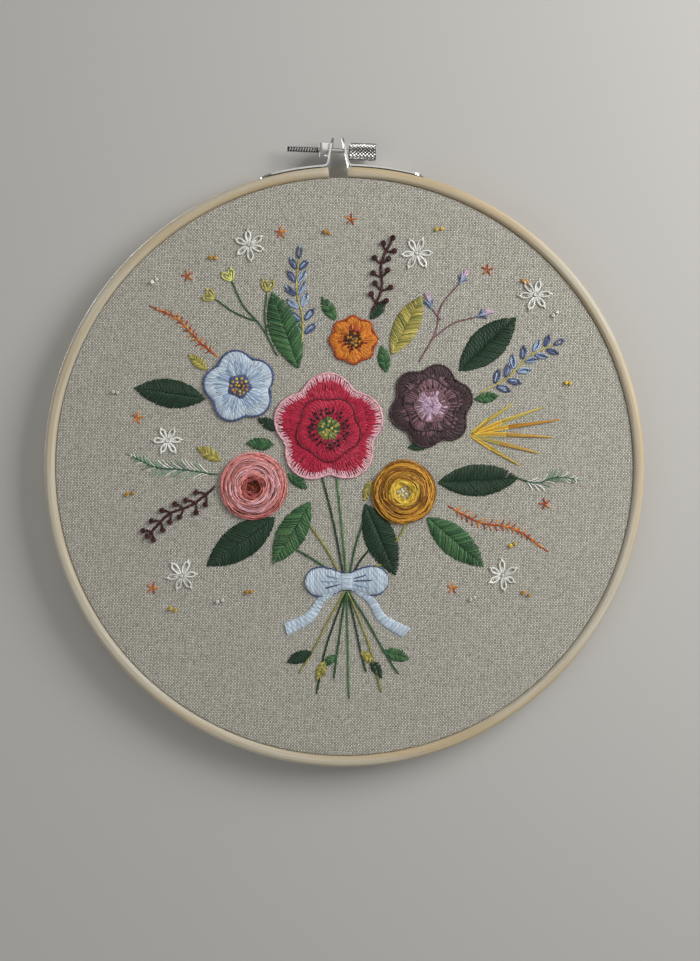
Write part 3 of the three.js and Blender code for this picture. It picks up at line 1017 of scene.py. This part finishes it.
def tube_skin(path, radius):
    """Places on the skin of each tube. path holds strands, places and the three coordinates."""
    along = np.gradient(path, axis=1)
    along /= np.linalg.norm(along, axis=2, keepdims=True) + 1e-12
    side = np.stack([-along[..., 1], along[..., 0], np.zeros_like(along[..., 0])], axis=2)
    side /= np.linalg.norm(side, axis=2, keepdims=True) + 1e-12
    up = np.cross(along, side)[:, :, None, :] * FLATTER * np.sin(ROUND)[:, None]
    rim = side[:, :, None, :] * np.cos(ROUND)[:, None] + up
    swell = np.minimum(1.0, 0.6 + 1.5 * np.sin(np.pi * np.linspace(0, 1, path.shape[1])))
    return path[:, :, None, :] + radius[:, None, None, None] * swell[None, :, None, None] * rim


def tube_map(path):
    """The map called strand for the walls and the caps, in millimetres along each tube."""
    steps = np.cumsum(np.linalg.norm(np.diff(path, axis=1), axis=2), axis=1)
    length = np.concatenate([np.zeros((len(path), 1)), steps], axis=1)
    length = length + 7.3 * np.arange(len(path))[:, None]
    shape = (len(path), path.shape[1] - 1, SIDES)
    here = np.broadcast_to(length[:, :-1, None], shape)
    there = np.broadcast_to(length[:, 1:, None], shape)
    v0 = np.broadcast_to(np.arange(SIDES) / SIDES, shape)
    v1 = v0 + 1 / SIDES
    walls = np.stack([here, v0, here, v1, there, v1, there, v0], axis=3)
    caps = np.zeros((len(path), 2, SIDES, 2))
    caps[..., 0] = length[:, [0, -1]][:, :, None]
    return walls, caps


print("faces of a plain stitch:", (len(LIE) - 1) * SIDES + 2)

# %% Turn strands into arrays
def tubes(strands, threads, first):
    """Arrays for strands with as many places each. first numbers their first corner."""
    path = np.array([places for places, _, _, _ in strands])
    radius = np.array([radius for _, _, radius, _ in strands])
    many, count = path.shape[:2]
    number = first + np.arange(many * count * SIDES).reshape(many, count, SIDES)
    after = np.roll(number, -1, axis=2)
    walls = np.stack([number[:, :-1], after[:, :-1], after[:, 1:], number[:, 1:]], axis=3)
    caps = np.stack([number[:, 0, ::-1], number[:, -1]], axis=1)
    wall_map, cap_map = tube_map(path)
    kinds = np.array([threads.index(thread) for _, thread, _, _ in strands])
    return {
        "spots": tube_skin(path, radius).reshape(-1, 3),
        "tones": np.repeat([tone for _, _, _, tone in strands], count * SIDES),
        "corners": np.concatenate([walls.reshape(-1), caps.reshape(-1)]),
        "sizes": np.concatenate([np.full(walls.size // 4, 4), np.full(caps.size // SIDES, SIDES)]),
        "map": np.concatenate([wall_map.reshape(-1), cap_map.reshape(-1)]),
        "kinds": np.concatenate([np.repeat(kinds, (count - 1) * SIDES), np.repeat(kinds, 2)]),
    }


example = (np.column_stack([10 * LIE, 0 * LIE, RISE * STRAND_R]), "ice", STRAND_R, 0.5)
print("corners of a plain stitch:", len(tubes([example], ["ice"], 0)["spots"]))

# %% Turn the arrays into a mesh
def thread_mesh(name, threads, arrays):
    x, z, height = arrays["spots"].T
    world = np.column_stack([x * MM, CLOTH_FRONT - height * MM, HOOP_Z + z * MM])
    mesh = bpy.data.meshes.new(name)
    mesh.vertices.add(len(world))
    mesh.vertices.foreach_set("co", world.reshape(-1))
    mesh.loops.add(len(arrays["corners"]))
    mesh.loops.foreach_set("vertex_index", arrays["corners"])
    mesh.polygons.add(len(arrays["sizes"]))
    starts = np.concatenate([[0], np.cumsum(arrays["sizes"])[:-1]])
    mesh.polygons.foreach_set("loop_start", starts)
    for thread in threads:
        mesh.materials.append(cottons[thread])
    mesh.polygons.foreach_set("material_index", arrays["kinds"])
    mesh.uv_layers.new(name="strand").data.foreach_set("uv", arrays["map"])
    mesh.attributes.new("tone", "FLOAT", "POINT").data.foreach_set("value", arrays["tones"])
    mesh.update(calc_edges=True)
    mesh.polygons.foreach_set("use_smooth", [True] * len(mesh.polygons))
    return mesh


def sew(name, work, stands_for=()):
    """Makes one piece of all strands in work, and of the runs behind them."""
    threads = sorted({thread for _, thread, _, _ in work})
    groups = {}
    for strand in work + hidden_runs(work):
        groups.setdefault(len(strand[0]), []).append(strand)
    made = []
    first = 0
    for strands in groups.values():
        made.append(tubes(strands, threads, first))
        first += len(made[-1]["spots"])
    arrays = {key: np.concatenate([group[key] for group in made]) for key in made[0]}
    print(name, "strands:", len(work), "triangles:", int((arrays["sizes"] - 2).sum()))
    mesh = thread_mesh(name, threads, arrays)
    return hand_in(name, mesh, stands_for)


print("ready to sew with", len(cottons), "threads")

# %% [markdown]
# ## Leaves
# A leaf is fishbone stitch: strands from the rim slant down to the rib in the middle and just
# cross it, one from the left, one from the right. One surface with a bump could stand for it,
# but the pull of each thread leaves a groove along the rib and a toothed rim, and only single
# strands show both.

# %% Helper for a leaf
SLANT = 0.62
AHEAD = 0.6
TIP_HALF = 0.12
PAST_RIB = 0.22


def leaf(work, root, angle, long, belly, thread, rise=0.55, spacing=0.47, ragged=0.22):
    way = toward(math.radians(angle))
    left = aside(way)
    root = np.array(root, float)

    def half_width(u):
        a = math.acos(max(-1.0, min(1.0, 1 - 2 * u / long)))
        return belly * math.sin(a) * abs(math.sin(a)) ** 0.8

    def cushion(x, z):
        spot = np.array([x, z]) - root
        u, v = float(spot @ way), abs(float(spot @ left))
        wide = max(half_width(min(max(u, 0), long)), 0.3)
        return max(0.0, rise * (1 - (v / wide) ** 2)) * (1 - 0.6 * math.exp(-(v / 0.7) ** 2))

    for u in np.arange(0.6, long + spacing, spacing):
        for side in (1, -1):
            out_u = min(u + rng.normal(0, 0.08), long)
            width = half_width(out_u) + rng.uniform(-ragged, ragged)
            rib_u = max(0.0, out_u - SLANT * max(width, 0.5) - AHEAD)
            tip = root + way * out_u + left * side * max(width, TIP_HALF)
            rib = root + way * rib_u - left * side * PAST_RIB
            straight(work, tip, rib, thread, over=cushion, bend=0.12 * side)


print("strands past the rib mm:", PAST_RIB)

# %% Sew the nine large leaves
LARGE_LEAVES = [
    ("leaf_west", (-24, -17), 214, 28, 6.0, "bottle"),
    ("leaf_southwest", (-12, -12), 238, 24, 5.0, LEAFY),
    ("leaf_south", (7, -13), 292, 26, 5.4, "bottle"),
    ("leaf_southeast", (28, -18), 318, 25, 5.2, LEAFY),
    ("leaf_east", (32, -6), 2, 27, 5.6, "bottle"),
    ("leaf_northeast", (40, 32), 42, 26, 6.0, "bottle"),
    ("leaf_north", (17, 38), 62, 22, 4.4, DRY),
    ("leaf_northwest", (-15, 34), 108, 27, 5.6, LEAFY),
    ("leaf_far_west", (-47, 24), 170, 24, 5.0, "bottle"),
]
for name, root, angle, long, belly, thread in LARGE_LEAVES:
    work = []
    leaf(work, root, angle, long, belly, thread)
    sew("sewn_" + name, work, [name])

# %% [markdown]
# ## Petals
# The open flowers are long-and-short stitch: rows of strands run from the rim of each petal to
# its root, each row biting into the last so that the colours shade into each other. The petals
# lie in rings, an inner one on top of an outer one, and each rim has a raised line. Shaded
# surfaces would be lighter, but the light catches every strand, so each one is laid.

# %% Helper for a ring of petals
SATIN_GAP = 0.42
ROW_FILL = 0.92
RAGGED_ROW = 0.05
BITE = (-0.04, 0.06)
RIM_IN = 0.15


def rim_share(angle, lobes, turn, notch):
    """Reach of the rim, from 1 on a petal's middle down to the notch between two petals."""
    return 1 - notch * (1 - abs(math.cos((angle - math.radians(turn)) * lobes / 2)))


def petal_ring(work, middle, radius, lobes, turn, rows, rim=None, low=0.1, high=0.6, notch=0.2,
               gap=SATIN_GAP):
    """One ring of petals. Each row is (share of the radius outside, inside, thread)."""
    middle = np.array(middle, float)

    def cushion(x, z):
        a = math.atan2(z - middle[1], x - middle[0])
        share = math.hypot(x - middle[0], z - middle[1]) / (radius * rim_share(a, lobes, turn, notch))
        puff = abs(math.cos((a - math.radians(turn)) * lobes / 2)) ** 0.6
        dome = math.sqrt(max(0.0, 1 - min(1.0, share) ** 3))
        return low + (high - low) * dome * (0.35 + 0.65 * puff)

    for outer, inner, thread in rows:
        count = round(2 * math.pi * radius * outer * ROW_FILL / gap)
        for k in range(count):
            a = 2 * math.pi * k / count + rng.normal(0, 0.004)
            reach = radius * rim_share(a, lobes, turn, notch)
            far = reach * (outer + (rng.uniform(-RAGGED_ROW, RAGGED_ROW) if outer < 1 else 0.0))
            near = reach * (inner + BITE[k % 2] + rng.uniform(-0.03, 0.03))
            near_a = a + rng.normal(0, 0.012)
            straight(work, middle + far * toward(a), middle + near * toward(near_a), thread,
                     over=cushion)
    if rim:
        angles = np.linspace(0, 2 * math.pi, 160)
        rim_r = radius - RIM_IN
        line = [middle + rim_r * rim_share(a, lobes, turn, notch) * toward(a) for a in angles]
        stem_stitch(work, line, rim, STRAND_R * 1.1, over=low + 0.28, step=1.3)


print("rim of five petals dips to", rim_share(math.radians(36), 5, 0, 0.2))

# %% Helper for rings of knots
def knots_round(work, middle, rings, thread, over, size):
    """Rings of knots, each ring given as (radius, count)."""
    for reach, count in rings:
        for k in range(count):
            a = 2 * math.pi * (k + 0.5 * rng.random()) / count
            spot = middle + (reach + rng.normal(0, 0.12)) * toward(a)
            knot(work, spot, thread, size * rng.uniform(0.88, 1.1), over)


print("knots for the heart of a flower ready")

# %% Sew the poppy
work = []
middle = (-5, 13)
petal_ring(work, middle, 19, 5, 90, [
    (1.0, 0.86, "blush"), (0.92, 0.66, "crimson"), (0.74, 0.46, "crimson")], rim="blush", high=0.75)
petal_ring(work, middle, 11.4, 5, 126, [(1.0, 0.62, "crimson"), (0.72, 0.3, ("burgundy", "crimson"))],
           rim="burgundy", low=0.6, high=1.15, notch=0.16)
petal_ring(work, middle, 4.4, 7, 90, [(1.0, 0.1, ("olive", "forest"))], low=0.9, high=1.3, notch=0.05)
knots_round(work, middle, [(5.4, 20), (6.6, 17)], "black", 1.05, 0.46)
knots_round(work, middle, [(1.0, 4), (2.4, 9)], "straw", 1.15, 0.5)
sew("sewn_poppy", work, ["poppy"])

# %% Sew the anemone
work = []
middle = (30, 20)
petal_ring(work, middle, 14.5, 6, 75, [(1.0, 0.66, "plum"), (0.76, 0.5, ("plum", "mauve"))],
           rim="plum", high=0.7)
petal_ring(work, middle, 9.8, 5, 20, [(1.0, 0.6, ("mauve", "plum"))], rim="plum", low=0.5, high=0.95)
petal_ring(work, middle, 6.2, 6, 60, [(1.0, 0.5, ("mauve", "lilac")), (0.62, 0.12, "lilac")],
           rim="mauve", low=0.72, high=1.2)
knots_round(work, middle, [(0.2, 1), (1.2, 6), (2.3, 9)], "lilac", 1.1, 0.42)
sew("sewn_anemone", work, ["anemone"])

# %% Sew the blue flower
work = []
middle = (-35, 28)
petal_ring(work, middle, 12.5, 5, 100, [(1.0, 0.64, "ice"), (0.74, 0.3, ("ice", "sky"))],
           rim="slate", high=0.7)
petal_ring(work, middle, 4.6, 5, 136, [(1.0, 0.2, "slate")], low=0.5, high=0.85)
knots_round(work, middle, [(0.3, 1), (1.5, 7), (2.7, 11)], ("gold", "lemon"), 0.85, 0.48)
sew("sewn_blue_flower", work, ["blue_flower"])

# %% Sew the marigold
work = []
middle = (4, 43)
petal_ring(work, middle, 8.5, 8, 90, [(1.0, 0.6, "orange"), (0.7, 0.28, RUSTY)], rim="rust", high=0.7)
knots_round(work, middle, [(0.2, 1), (1.1, 6), (2.1, 10), (3.0, 14)], ("gold", "brown"), 0.7, 0.48)
sew("sewn_marigold", work, ["marigold"])

# %% [markdown]
# ## Woven roses
# A woven rose is wound, not pierced: a strand goes over and under a few spokes, round after
# round, so it is the thickest thing on the linen. A torus for each round would look like a
# spring, so each round is laid as about twenty strands that rise and sink over the spokes and
# stray across their neighbours.

# %% Helper for a woven rose
ROSE_PEAK = 2.2
ROSE_SPOKES = 5
ROSE_HEART = 2.7
ROSE_ROUNDS = 13
ROUND_STRANDS = 22
SUNK_STRANDS = 9
SUNK = 0.32
STRAND_PLACES = 12
STRAY = 0.5
WAVE_UP = 0.36
WAVE_OUT = 0.38
END_DIP = -0.8


def woven_rose(work, middle, radius, threads):
    middle = np.array(middle, float)
    for number in range(ROSE_ROUNDS):
        share = number / (ROSE_ROUNDS - 1)
        reach = ROSE_HEART + (radius - ROSE_HEART - 0.35) * share
        top = 0.35 + (ROSE_PEAK - 0.35) * math.sin(math.pi * min(1.0, 0.30 + 0.66 * share)) ** 0.75
        thread = threads[min(len(threads) - 1, int(share * len(threads)))]
        for strand in range(ROUND_STRANDS):
            first = rng.uniform(0, 2 * math.pi)
            sweep = rng.uniform(1.4, 3.2)
            under = SUNK if strand < SUNK_STRANDS else 0.0
            own = reach + rng.uniform(-STRAY, STRAY)
            drift = rng.normal(0, 0.55)
            spots = []
            for k in range(STRAND_PLACES):
                t = k / (STRAND_PLACES - 1)
                a = first + sweep * t
                wave = math.sin(a * ROSE_SPOKES / 2 + number * (math.pi + 0.35))
                r = min(own + drift * (t - 0.5) + WAVE_OUT * wave, radius)
                dip = END_DIP if k in (0, STRAND_PLACES - 1) else 0.0
                height = top + (WAVE_UP - under) * wave - under + rng.normal(0, 0.03) + dip
                spots.append((*(middle + r * toward(a)), max(height, 0.1)))
            lay(work, spots, thread, STRAND_R * rng.uniform(0.72, 0.95), rng.uniform(0.0, 1.0))


print("strands in a rose:", ROSE_ROUNDS * ROUND_STRANDS)

# %% Sew the two roses
PALE_CORAL = ("coral", "blush")
OLD_GOLD = ("gold", "amber")

work = []
middle = (-31, -6)
petal_ring(work, middle, 9.8, 7, 0, [(1.0, 0.5, "rosewood")], high=0.5, notch=0.02, gap=0.6)
petal_ring(work, middle, 3.4, 7, 0, [(1.0, 0.1, ("brown", "rust"))], low=0.3, high=0.7, notch=0.05)
woven_rose(work, middle, 11.4, [
    "rosewood", "coral", PALE_CORAL, "coral", PALE_CORAL, "coral", ("coral", "rosewood")])
knots_round(work, middle, [(0.4, 2), (1.5, 6)], ("brown", "rust"), 0.7, 0.5)
sew("sewn_rose_coral", work, ["rose_coral"])

work = []
middle = (20, -9)
petal_ring(work, middle, 9.4, 7, 0, [(1.0, 0.5, "amber")], high=0.5, notch=0.02, gap=0.6)
petal_ring(work, middle, 3.6, 7, 0, [(1.0, 0.1, "lemon")], low=0.5, high=0.9, notch=0.05)
woven_rose(work, middle, 10.9, [
    "lemon", ("gold", "lemon"), OLD_GOLD, "gold", OLD_GOLD, "gold", ("amber", "gold")])
knots_round(work, middle, [(0.3, 1), (1.2, 6), (2.1, 7)], "white", 0.95, 0.46)
sew("sewn_rose_gold", work, ["rose_gold"])

# %% [markdown]
# ## Bow
# The bow that ties the stems is satin stitch: upright strands side by side across each loop,
# over a little padding, with an outline. Its tails and knot are satin as well. The shape of a
# loop is one formula, so the strands, the padding and the outline all agree.

# %% Draw the bow
BOW_Z = -39
BOW_REACH = 14
BOW_HALF = 7.5


def bow_half(x):
    """Half the height of a loop, x millimetres from the knot."""
    a = math.acos(max(-1.0, min(1.0, x / BOW_REACH)))
    return BOW_HALF * math.sin(a) * (0.3 + 0.9 * abs(math.cos(a)))


def bow_cushion(x, z):
    half = max(bow_half(x), 0.3)
    return 0.75 * max(0.0, 1 - ((z - BOW_Z) / half) ** 2) ** 0.5


def ribbon_tail(work, line, wide, threads):
    """Short satin strands across a line, wider towards its end."""
    at, total = walk(smooth_line(line))
    for length in np.arange(0, total, SATIN_GAP):
        here, way = at(length)
        across = aside(way) * (wide[0] + (wide[1] - wide[0]) * length / total)
        slip = way * 0.5
        straight(work, here - across - slip, here + across + slip, threads, over=0.08)


print("widest part of a loop mm:", round(2 * max(bow_half(x) for x in range(BOW_REACH)), 1))

# %% Sew the bow
work = []
ribbon_tail(work, [(-1.5, -41), (-8, -44.5), (-13, -51), (-21, -55)], (1.0, 2.2), "ice")
ribbon_tail(work, [(1.5, -41), (8, -45.5), (12, -52), (20, -57)], (1.0, 2.2), "ice")
for x in np.arange(-13.8, 13.9, 0.43):
    half = bow_half(x) - 0.15
    if abs(x) > 1.9 and half > 0.4:
        top = (x + rng.normal(0, 0.08), BOW_Z + half)
        straight(work, (x, BOW_Z - half), top, "ice", over=bow_cushion)
for side in (1, -1):
    outs = [BOW_REACH * math.cos(a / 2) for a in np.linspace(0, math.pi, 40)[:-1]]
    for up in (1, -1):
        line = [(side * out, BOW_Z + up * bow_half(out)) for out in outs]
        outline_stitch(work, line, "slate", STRAND_R * 0.95, over=0.1)
    for slope, long in ((-0.9, 7.5), (0.1, 9.0), (0.9, 7.0)):
        straight(work, (side * 2.2, BOW_Z + slope), (side * long, BOW_Z + slope * 2.4), ("sky", "slate"),
                 STRAND_R * 0.9, over=lambda x, z: bow_cushion(x, z) + 0.3)
for z in np.arange(-2.6, 2.7, SATIN_GAP):
    straight(work, (-2.1, BOW_Z + z), (2.1, BOW_Z + z), "ice", over=1.0 * math.sqrt(1 - (z / 3) ** 2))
sew("sewn_bow", work, ["bow"])

# %% [markdown]
# ## Sprigs
# Everything between the flowers is worked straight on the linen: sprigs with lazy-daisy petals,
# berries on short stems, ferns of single strands, grass and buds. They could be placed one by
# one, but each kind is one function that follows a curved line, so its sprigs differ only in
# their line and thread.

# %% Helpers for lavender
FINE = STRAND_R * 0.9
STOUT = STRAND_R * 1.1


def side_points(line, first, gap, end_gap=0.0):
    """Places along a curve as (place, angle, share of the length), and its tip."""
    at, total = walk(smooth_line(line))
    found = []
    for length in np.arange(first, total - end_gap, gap):
        here, way = at(length)
        found.append((here, math.atan2(way[1], way[0]), length / total))
    tip, way = at(total)
    return found, (tip, math.atan2(way[1], way[0]))


def lavender(work, line, stalk, petal, gap=4.4, long=4.9):
    stem_stitch(work, line, stalk, FINE, step=1.9)
    places, (tip, turn) = side_points(line, 6, gap, 2)
    for here, angle, share in places:
        for side in (1, -1):
            lean = angle + side * (0.85 - 0.25 * share) + rng.normal(0, 0.07)
            size = long * (1.0 - 0.25 * share)
            start = here + 0.9 * toward(lean)
            loop(work, start, lean, size, petal, width=0.27, radius=STRAND_R * 1.15)
            for turned_by in (-0.13, 0.13):
                straight(work, start, start + size * 0.8 * toward(lean + turned_by), petal, STOUT)
    loop(work, tip, turn, long * 0.8, petal, width=0.27, radius=STRAND_R * 1.15)


print("side shoots on 40 mm of lavender:", 2 * len(side_points([(0, 0), (40, 0)], 6, 4.4, 2)[0]))

# %% Helpers for berries and ferns
BERRY_GAP = 4.6
BERRY_REACH = 3.1
BERRY_SIZE = 0.95


def berries(work, line, thread):
    stem_stitch(work, line, thread, STRAND_R * 1.5, step=1.6)
    places, (tip, turn) = side_points(line, 4, BERRY_GAP, 1)
    for here, angle, share in places:
        for side in (1, -1):
            lean = angle + side * 0.95 + rng.normal(0, 0.08)
            end = here + BERRY_REACH * (1.05 - 0.3 * share) * toward(lean)
            straight(work, here, end, thread, STRAND_R * 1.45, bend=side * 0.25)
            knot(work, end + 0.35 * toward(lean), thread, BERRY_SIZE)
    knot(work, tip + 0.4 * toward(turn), thread, BERRY_SIZE * 1.05)


def fern(work, line, thread, long, gap=1.5, spread=0.62, stalk=None):
    stem_stitch(work, line, stalk or thread, FINE, step=1.7)
    places, (tip, turn) = side_points(line, 3, gap)
    for here, angle, share in places:
        size = long * math.sin(math.pi * min(1.0, 0.25 + 0.72 * share)) ** 0.7
        for side in (1, -1):
            lean = angle + side * (spread + rng.normal(0, 0.06))
            straight(work, here, here + size * toward(lean), thread, STRAND_R * 0.85, bend=side * -0.3)
    straight(work, tip, tip + 2.4 * toward(turn), thread, STRAND_R * 0.85)


print("berries on 40 mm of stalk:", 2 * len(side_points([(0, 0), (40, 0)], 4, BERRY_GAP, 1)[0]) + 1)

# %% Helpers for buds, daisies, stars and grass
DAISY_PETALS = 6
STAR_POINTS = 5
BLADE_WIDE = 0.55


def bud(work, place, angle, threads, long, strands, fan):
    """Strands that fan out of one place, outer ones in the first thread."""
    for k in range(strands):
        t = 2 * k / (strands - 1) - 1
        size = long * (1 - 0.22 * t * t)
        thread = threads[0] if abs(t) > 0.55 else threads[-1]
        root = np.array(place) + rng.normal(0, 0.12, 2)
        straight(work, root, root + size * toward(angle + fan * t), thread,
                 over=0.35 * (1 - abs(t)), bend=-0.5 * t)


def daisy(work, place, size, thread, turn):
    for k in range(DAISY_PETALS):
        lean = turn + 2 * math.pi * k / DAISY_PETALS + rng.normal(0, 0.06)
        start = np.array(place) + 0.6 * toward(lean)
        long = size * rng.uniform(0.88, 1.05)
        loop(work, start, lean, long, thread, width=0.27, radius=STRAND_R * 1.35)
        straight(work, start, start + 0.55 * long * toward(lean), thread)
    knot(work, place, thread, 0.6, 0.15)


def star(work, place, size, thread, turn):
    for k in range(STAR_POINTS):
        lean = turn + 2 * math.pi * k / STAR_POINTS
        straight(work, place, np.array(place) + size * toward(lean), thread)


def grass(work, root, tips, threads):
    """Long blades, each of three double strands that meet at the tip."""
    root = np.array(root, float)
    for tip in np.array(tips, float):
        way = (tip - root) / np.hypot(*(tip - root))
        left = aside(way)
        bend = rng.uniform(-0.7, 0.7)
        for k in (-1, 0, 1):
            middle = root + (tip - root) * 0.42 + left * (k * BLADE_WIDE + bend)
            straight(work, root + left * k * 0.35, middle + way * 0.8, threads, over=0.05)
            straight(work, middle - way * 0.8, tip - way * abs(k) * 0.6, threads, over=0.05)


print("helpers for small motifs ready")

# %% Sew the sprigs on the left
work = []
lavender(work, [(-14, 39), (-13, 50), (-15, 60), (-14, 71)], "straw", ("slate", "slate", "sky"))
berries(work, [(-44, -6), (-52, -12), (-60, -15), (-67, -22)], "berry")
fern(work, [(-43, -2), (-54, 0), (-64, 1), (-72, 5)], FROSTY, long=5.6, stalk="forest")
fern(work, [(-42, 38), (-49, 44), (-55, 51), (-63, 55)], RUSTY, long=2.6, gap=2.0, spread=0.9)
stem_stitch(work, [(-22, 38), (-27, 48), (-33, 55), (-37, 64)], "forest", FINE)
stem_stitch(work, [(-25, 44), (-26, 52), (-25, 60)], "forest", FINE)
stem_stitch(work, [(-29, 50), (-36, 53), (-43, 58)], "forest", FINE)
for place, angle in (((-37, 64), 118), ((-25, 60), 84), ((-43, 58), 150)):
    for turn in (-0.42, 0.42):
        lean = math.radians(angle) + turn
        loop(work, place, lean, 3.9, ("lime", "straw"), width=0.34, radius=STOUT)
        straight(work, place, place + 3 * toward(lean), "lime", STOUT, over=0.1)
sew("sprigs_left", work)

# %% Sew the sprigs on the right
work = []
berries(work, [(10, 52), (14, 60), (14, 69), (18, 77)], "berry")
lavender(work, [(46, 24), (56, 29), (63, 36), (72, 40)], "straw", ("slate", "slate", "sky"), 4.3, 4.6)
stem_stitch(work, [(26, 35), (32, 45), (34, 54), (40, 61)], "mauve", FINE)
stem_stitch(work, [(31, 43), (38, 48), (46, 50)], "mauve", FINE)
for place, angle in (((40, 61), 58), ((46, 50), 20), ((31, 53), 112)):
    lean = math.radians(angle)
    bud(work, place, lean, ("slate", "sky"), 4.6, 5, 0.55)
    bud(work, place + 1.4 * toward(lean), lean, ("blush", "lilac"), 4.6, 5, 0.28)
stem_stitch(work, [(34, 49), (31, 53)], "mauve", FINE)
blade_tips = [(60, -1), (67, 3), (72, 8.5), (74, 14.5), (69, 19), (58, 20.5)]
grass(work, (43, 10), blade_tips, ("gold", "straw", "lemon"))
fern(work, [(35, -14), (46, -20), (57, -22), (67, -29)], RUSTY, long=2.6, gap=2.0, spread=0.9)
fern(work, [(59, -5), (65, -7), (72, -5), (79, -6)], FROSTY, long=4.4, stalk="forest")
sew("sprigs_right", work)

# %% [markdown]
# Below the flowers the stems run together under the bow and fan out again. They are stem stitch
# in several greens, with a few small leaves. A list of ends is enough for them, because every
# stem passes the same tie.

# %% Sew the stems and small leaves
STEMS = [
    ((-16.9, -27.8), (17, -71), "forest"), ((-12.4, -19.2), (11, -77), "olive"),
    ((-8, -1.5), (6, -70), "bottle"), ((-3, -1), (0, -79), "green"), ((6, -19), (-5, -72), "forest"),
    ((8.6, -27.6), (-11, -77), "bottle"), ((13, -33.2), (-17, -70), "olive"),
]
SMALL_LEAVES = [
    ((12.2, -63), 342, 9, LEAFY), ((-12.2, -63), 200, 9, "bottle"), ((4.4, -63), 318, 6, DRY),
    ((-3.7, -64), 216, 6, LEAFY), ((7.8, -66), 300, 7, "bottle"), ((-7.9, -66), 246, 7, DRY),
    ((-24, 8), 176, 9, LEAFY), ((-22, 13), 150, 8, "bottle"), ((15, 32), 100, 9, LEAFY),
    ((-2, 50), 120, 9, LEAFY), ((10, 50), 50, 8, "bottle"), ((-46, 34), 140, 8, DRY),
    ((-42, 3), 150, 9, DRY), ((45, 22), 8, 8, LEAFY), ((22, 6), 12, 8, "bottle"),
    ((-19, -2), 320, 8, LEAFY), ((9, -5), 250, 7, DRY),
]
STEM_GAP = 0.62

work = []
for k, ((x, z), (end_x, end_z), thread) in enumerate(STEMS):
    tie = (k - 3) * STEM_GAP
    halfway = (0.45 * x + tie * 0.6, 0.5 * (z + BOW_Z) + 1.5 - 0.06 * abs(x))
    places = [(x, z), halfway, (tie, BOW_Z), (0.34 * end_x - tie * 0.3, -52), (0.72 * end_x, -63),
              (end_x, end_z)]
    stem_stitch(work, places, thread, STOUT, step=1.9)
stem_stitch(work, [(20.5, -20), (18.5, -24), (16, -27)], "olive", STOUT)
for root, angle, long, thread in SMALL_LEAVES:
    leaf(work, root, angle, long, long * 0.24, thread, rise=0.3, spacing=0.5, ragged=0.18)
sew("stems_and_small_leaves", work)

# %% Sew the daisies, stars and single knots
DAISIES = [
    (-31, 76, 4.4), (26, 72, 4.6), (-60, 10, 4.2), (-56, -36, 4.4), (66, 57, 4.4), (53, -38, 4.2),
]
STARS = [(-52, 66), (50, 66), (-70, 18), (-66, -40), (68, -14), (36, -42), (4, 84), (-20, 80)]
PAIRS_OF_KNOTS = [
    (-5, 80, "gold"), (33, 80, "lemon"), (-44, 72, "gold"), (62, 62, "gold"), (76, 27, "lemon"),
    (-74, -8, "gold"), (-60, -47, "lemon"), (60, -44, "gold"), (56, -28, "lemon"), (-34, -42, "gold"),
    (-64, 64, "white"), (72, 50, "white"), (-78, 27, "white"), (42, -46, "white"), (-44, -45, "white"),
]

work = []
for x, z, size in DAISIES:
    daisy(work, (x, z), size, "white", rng.uniform(0, 1))
for place in STARS:
    star(work, place, 2.2, RUSTY, rng.uniform(0, 1))
for x, z, thread in PAIRS_OF_KNOTS:
    knot(work, (x, z), thread, 0.7)
    knot(work, (x + rng.uniform(1.3, 2), z + rng.uniform(-1, 1)), thread, 0.6)
sew("daisies_and_knots", work)
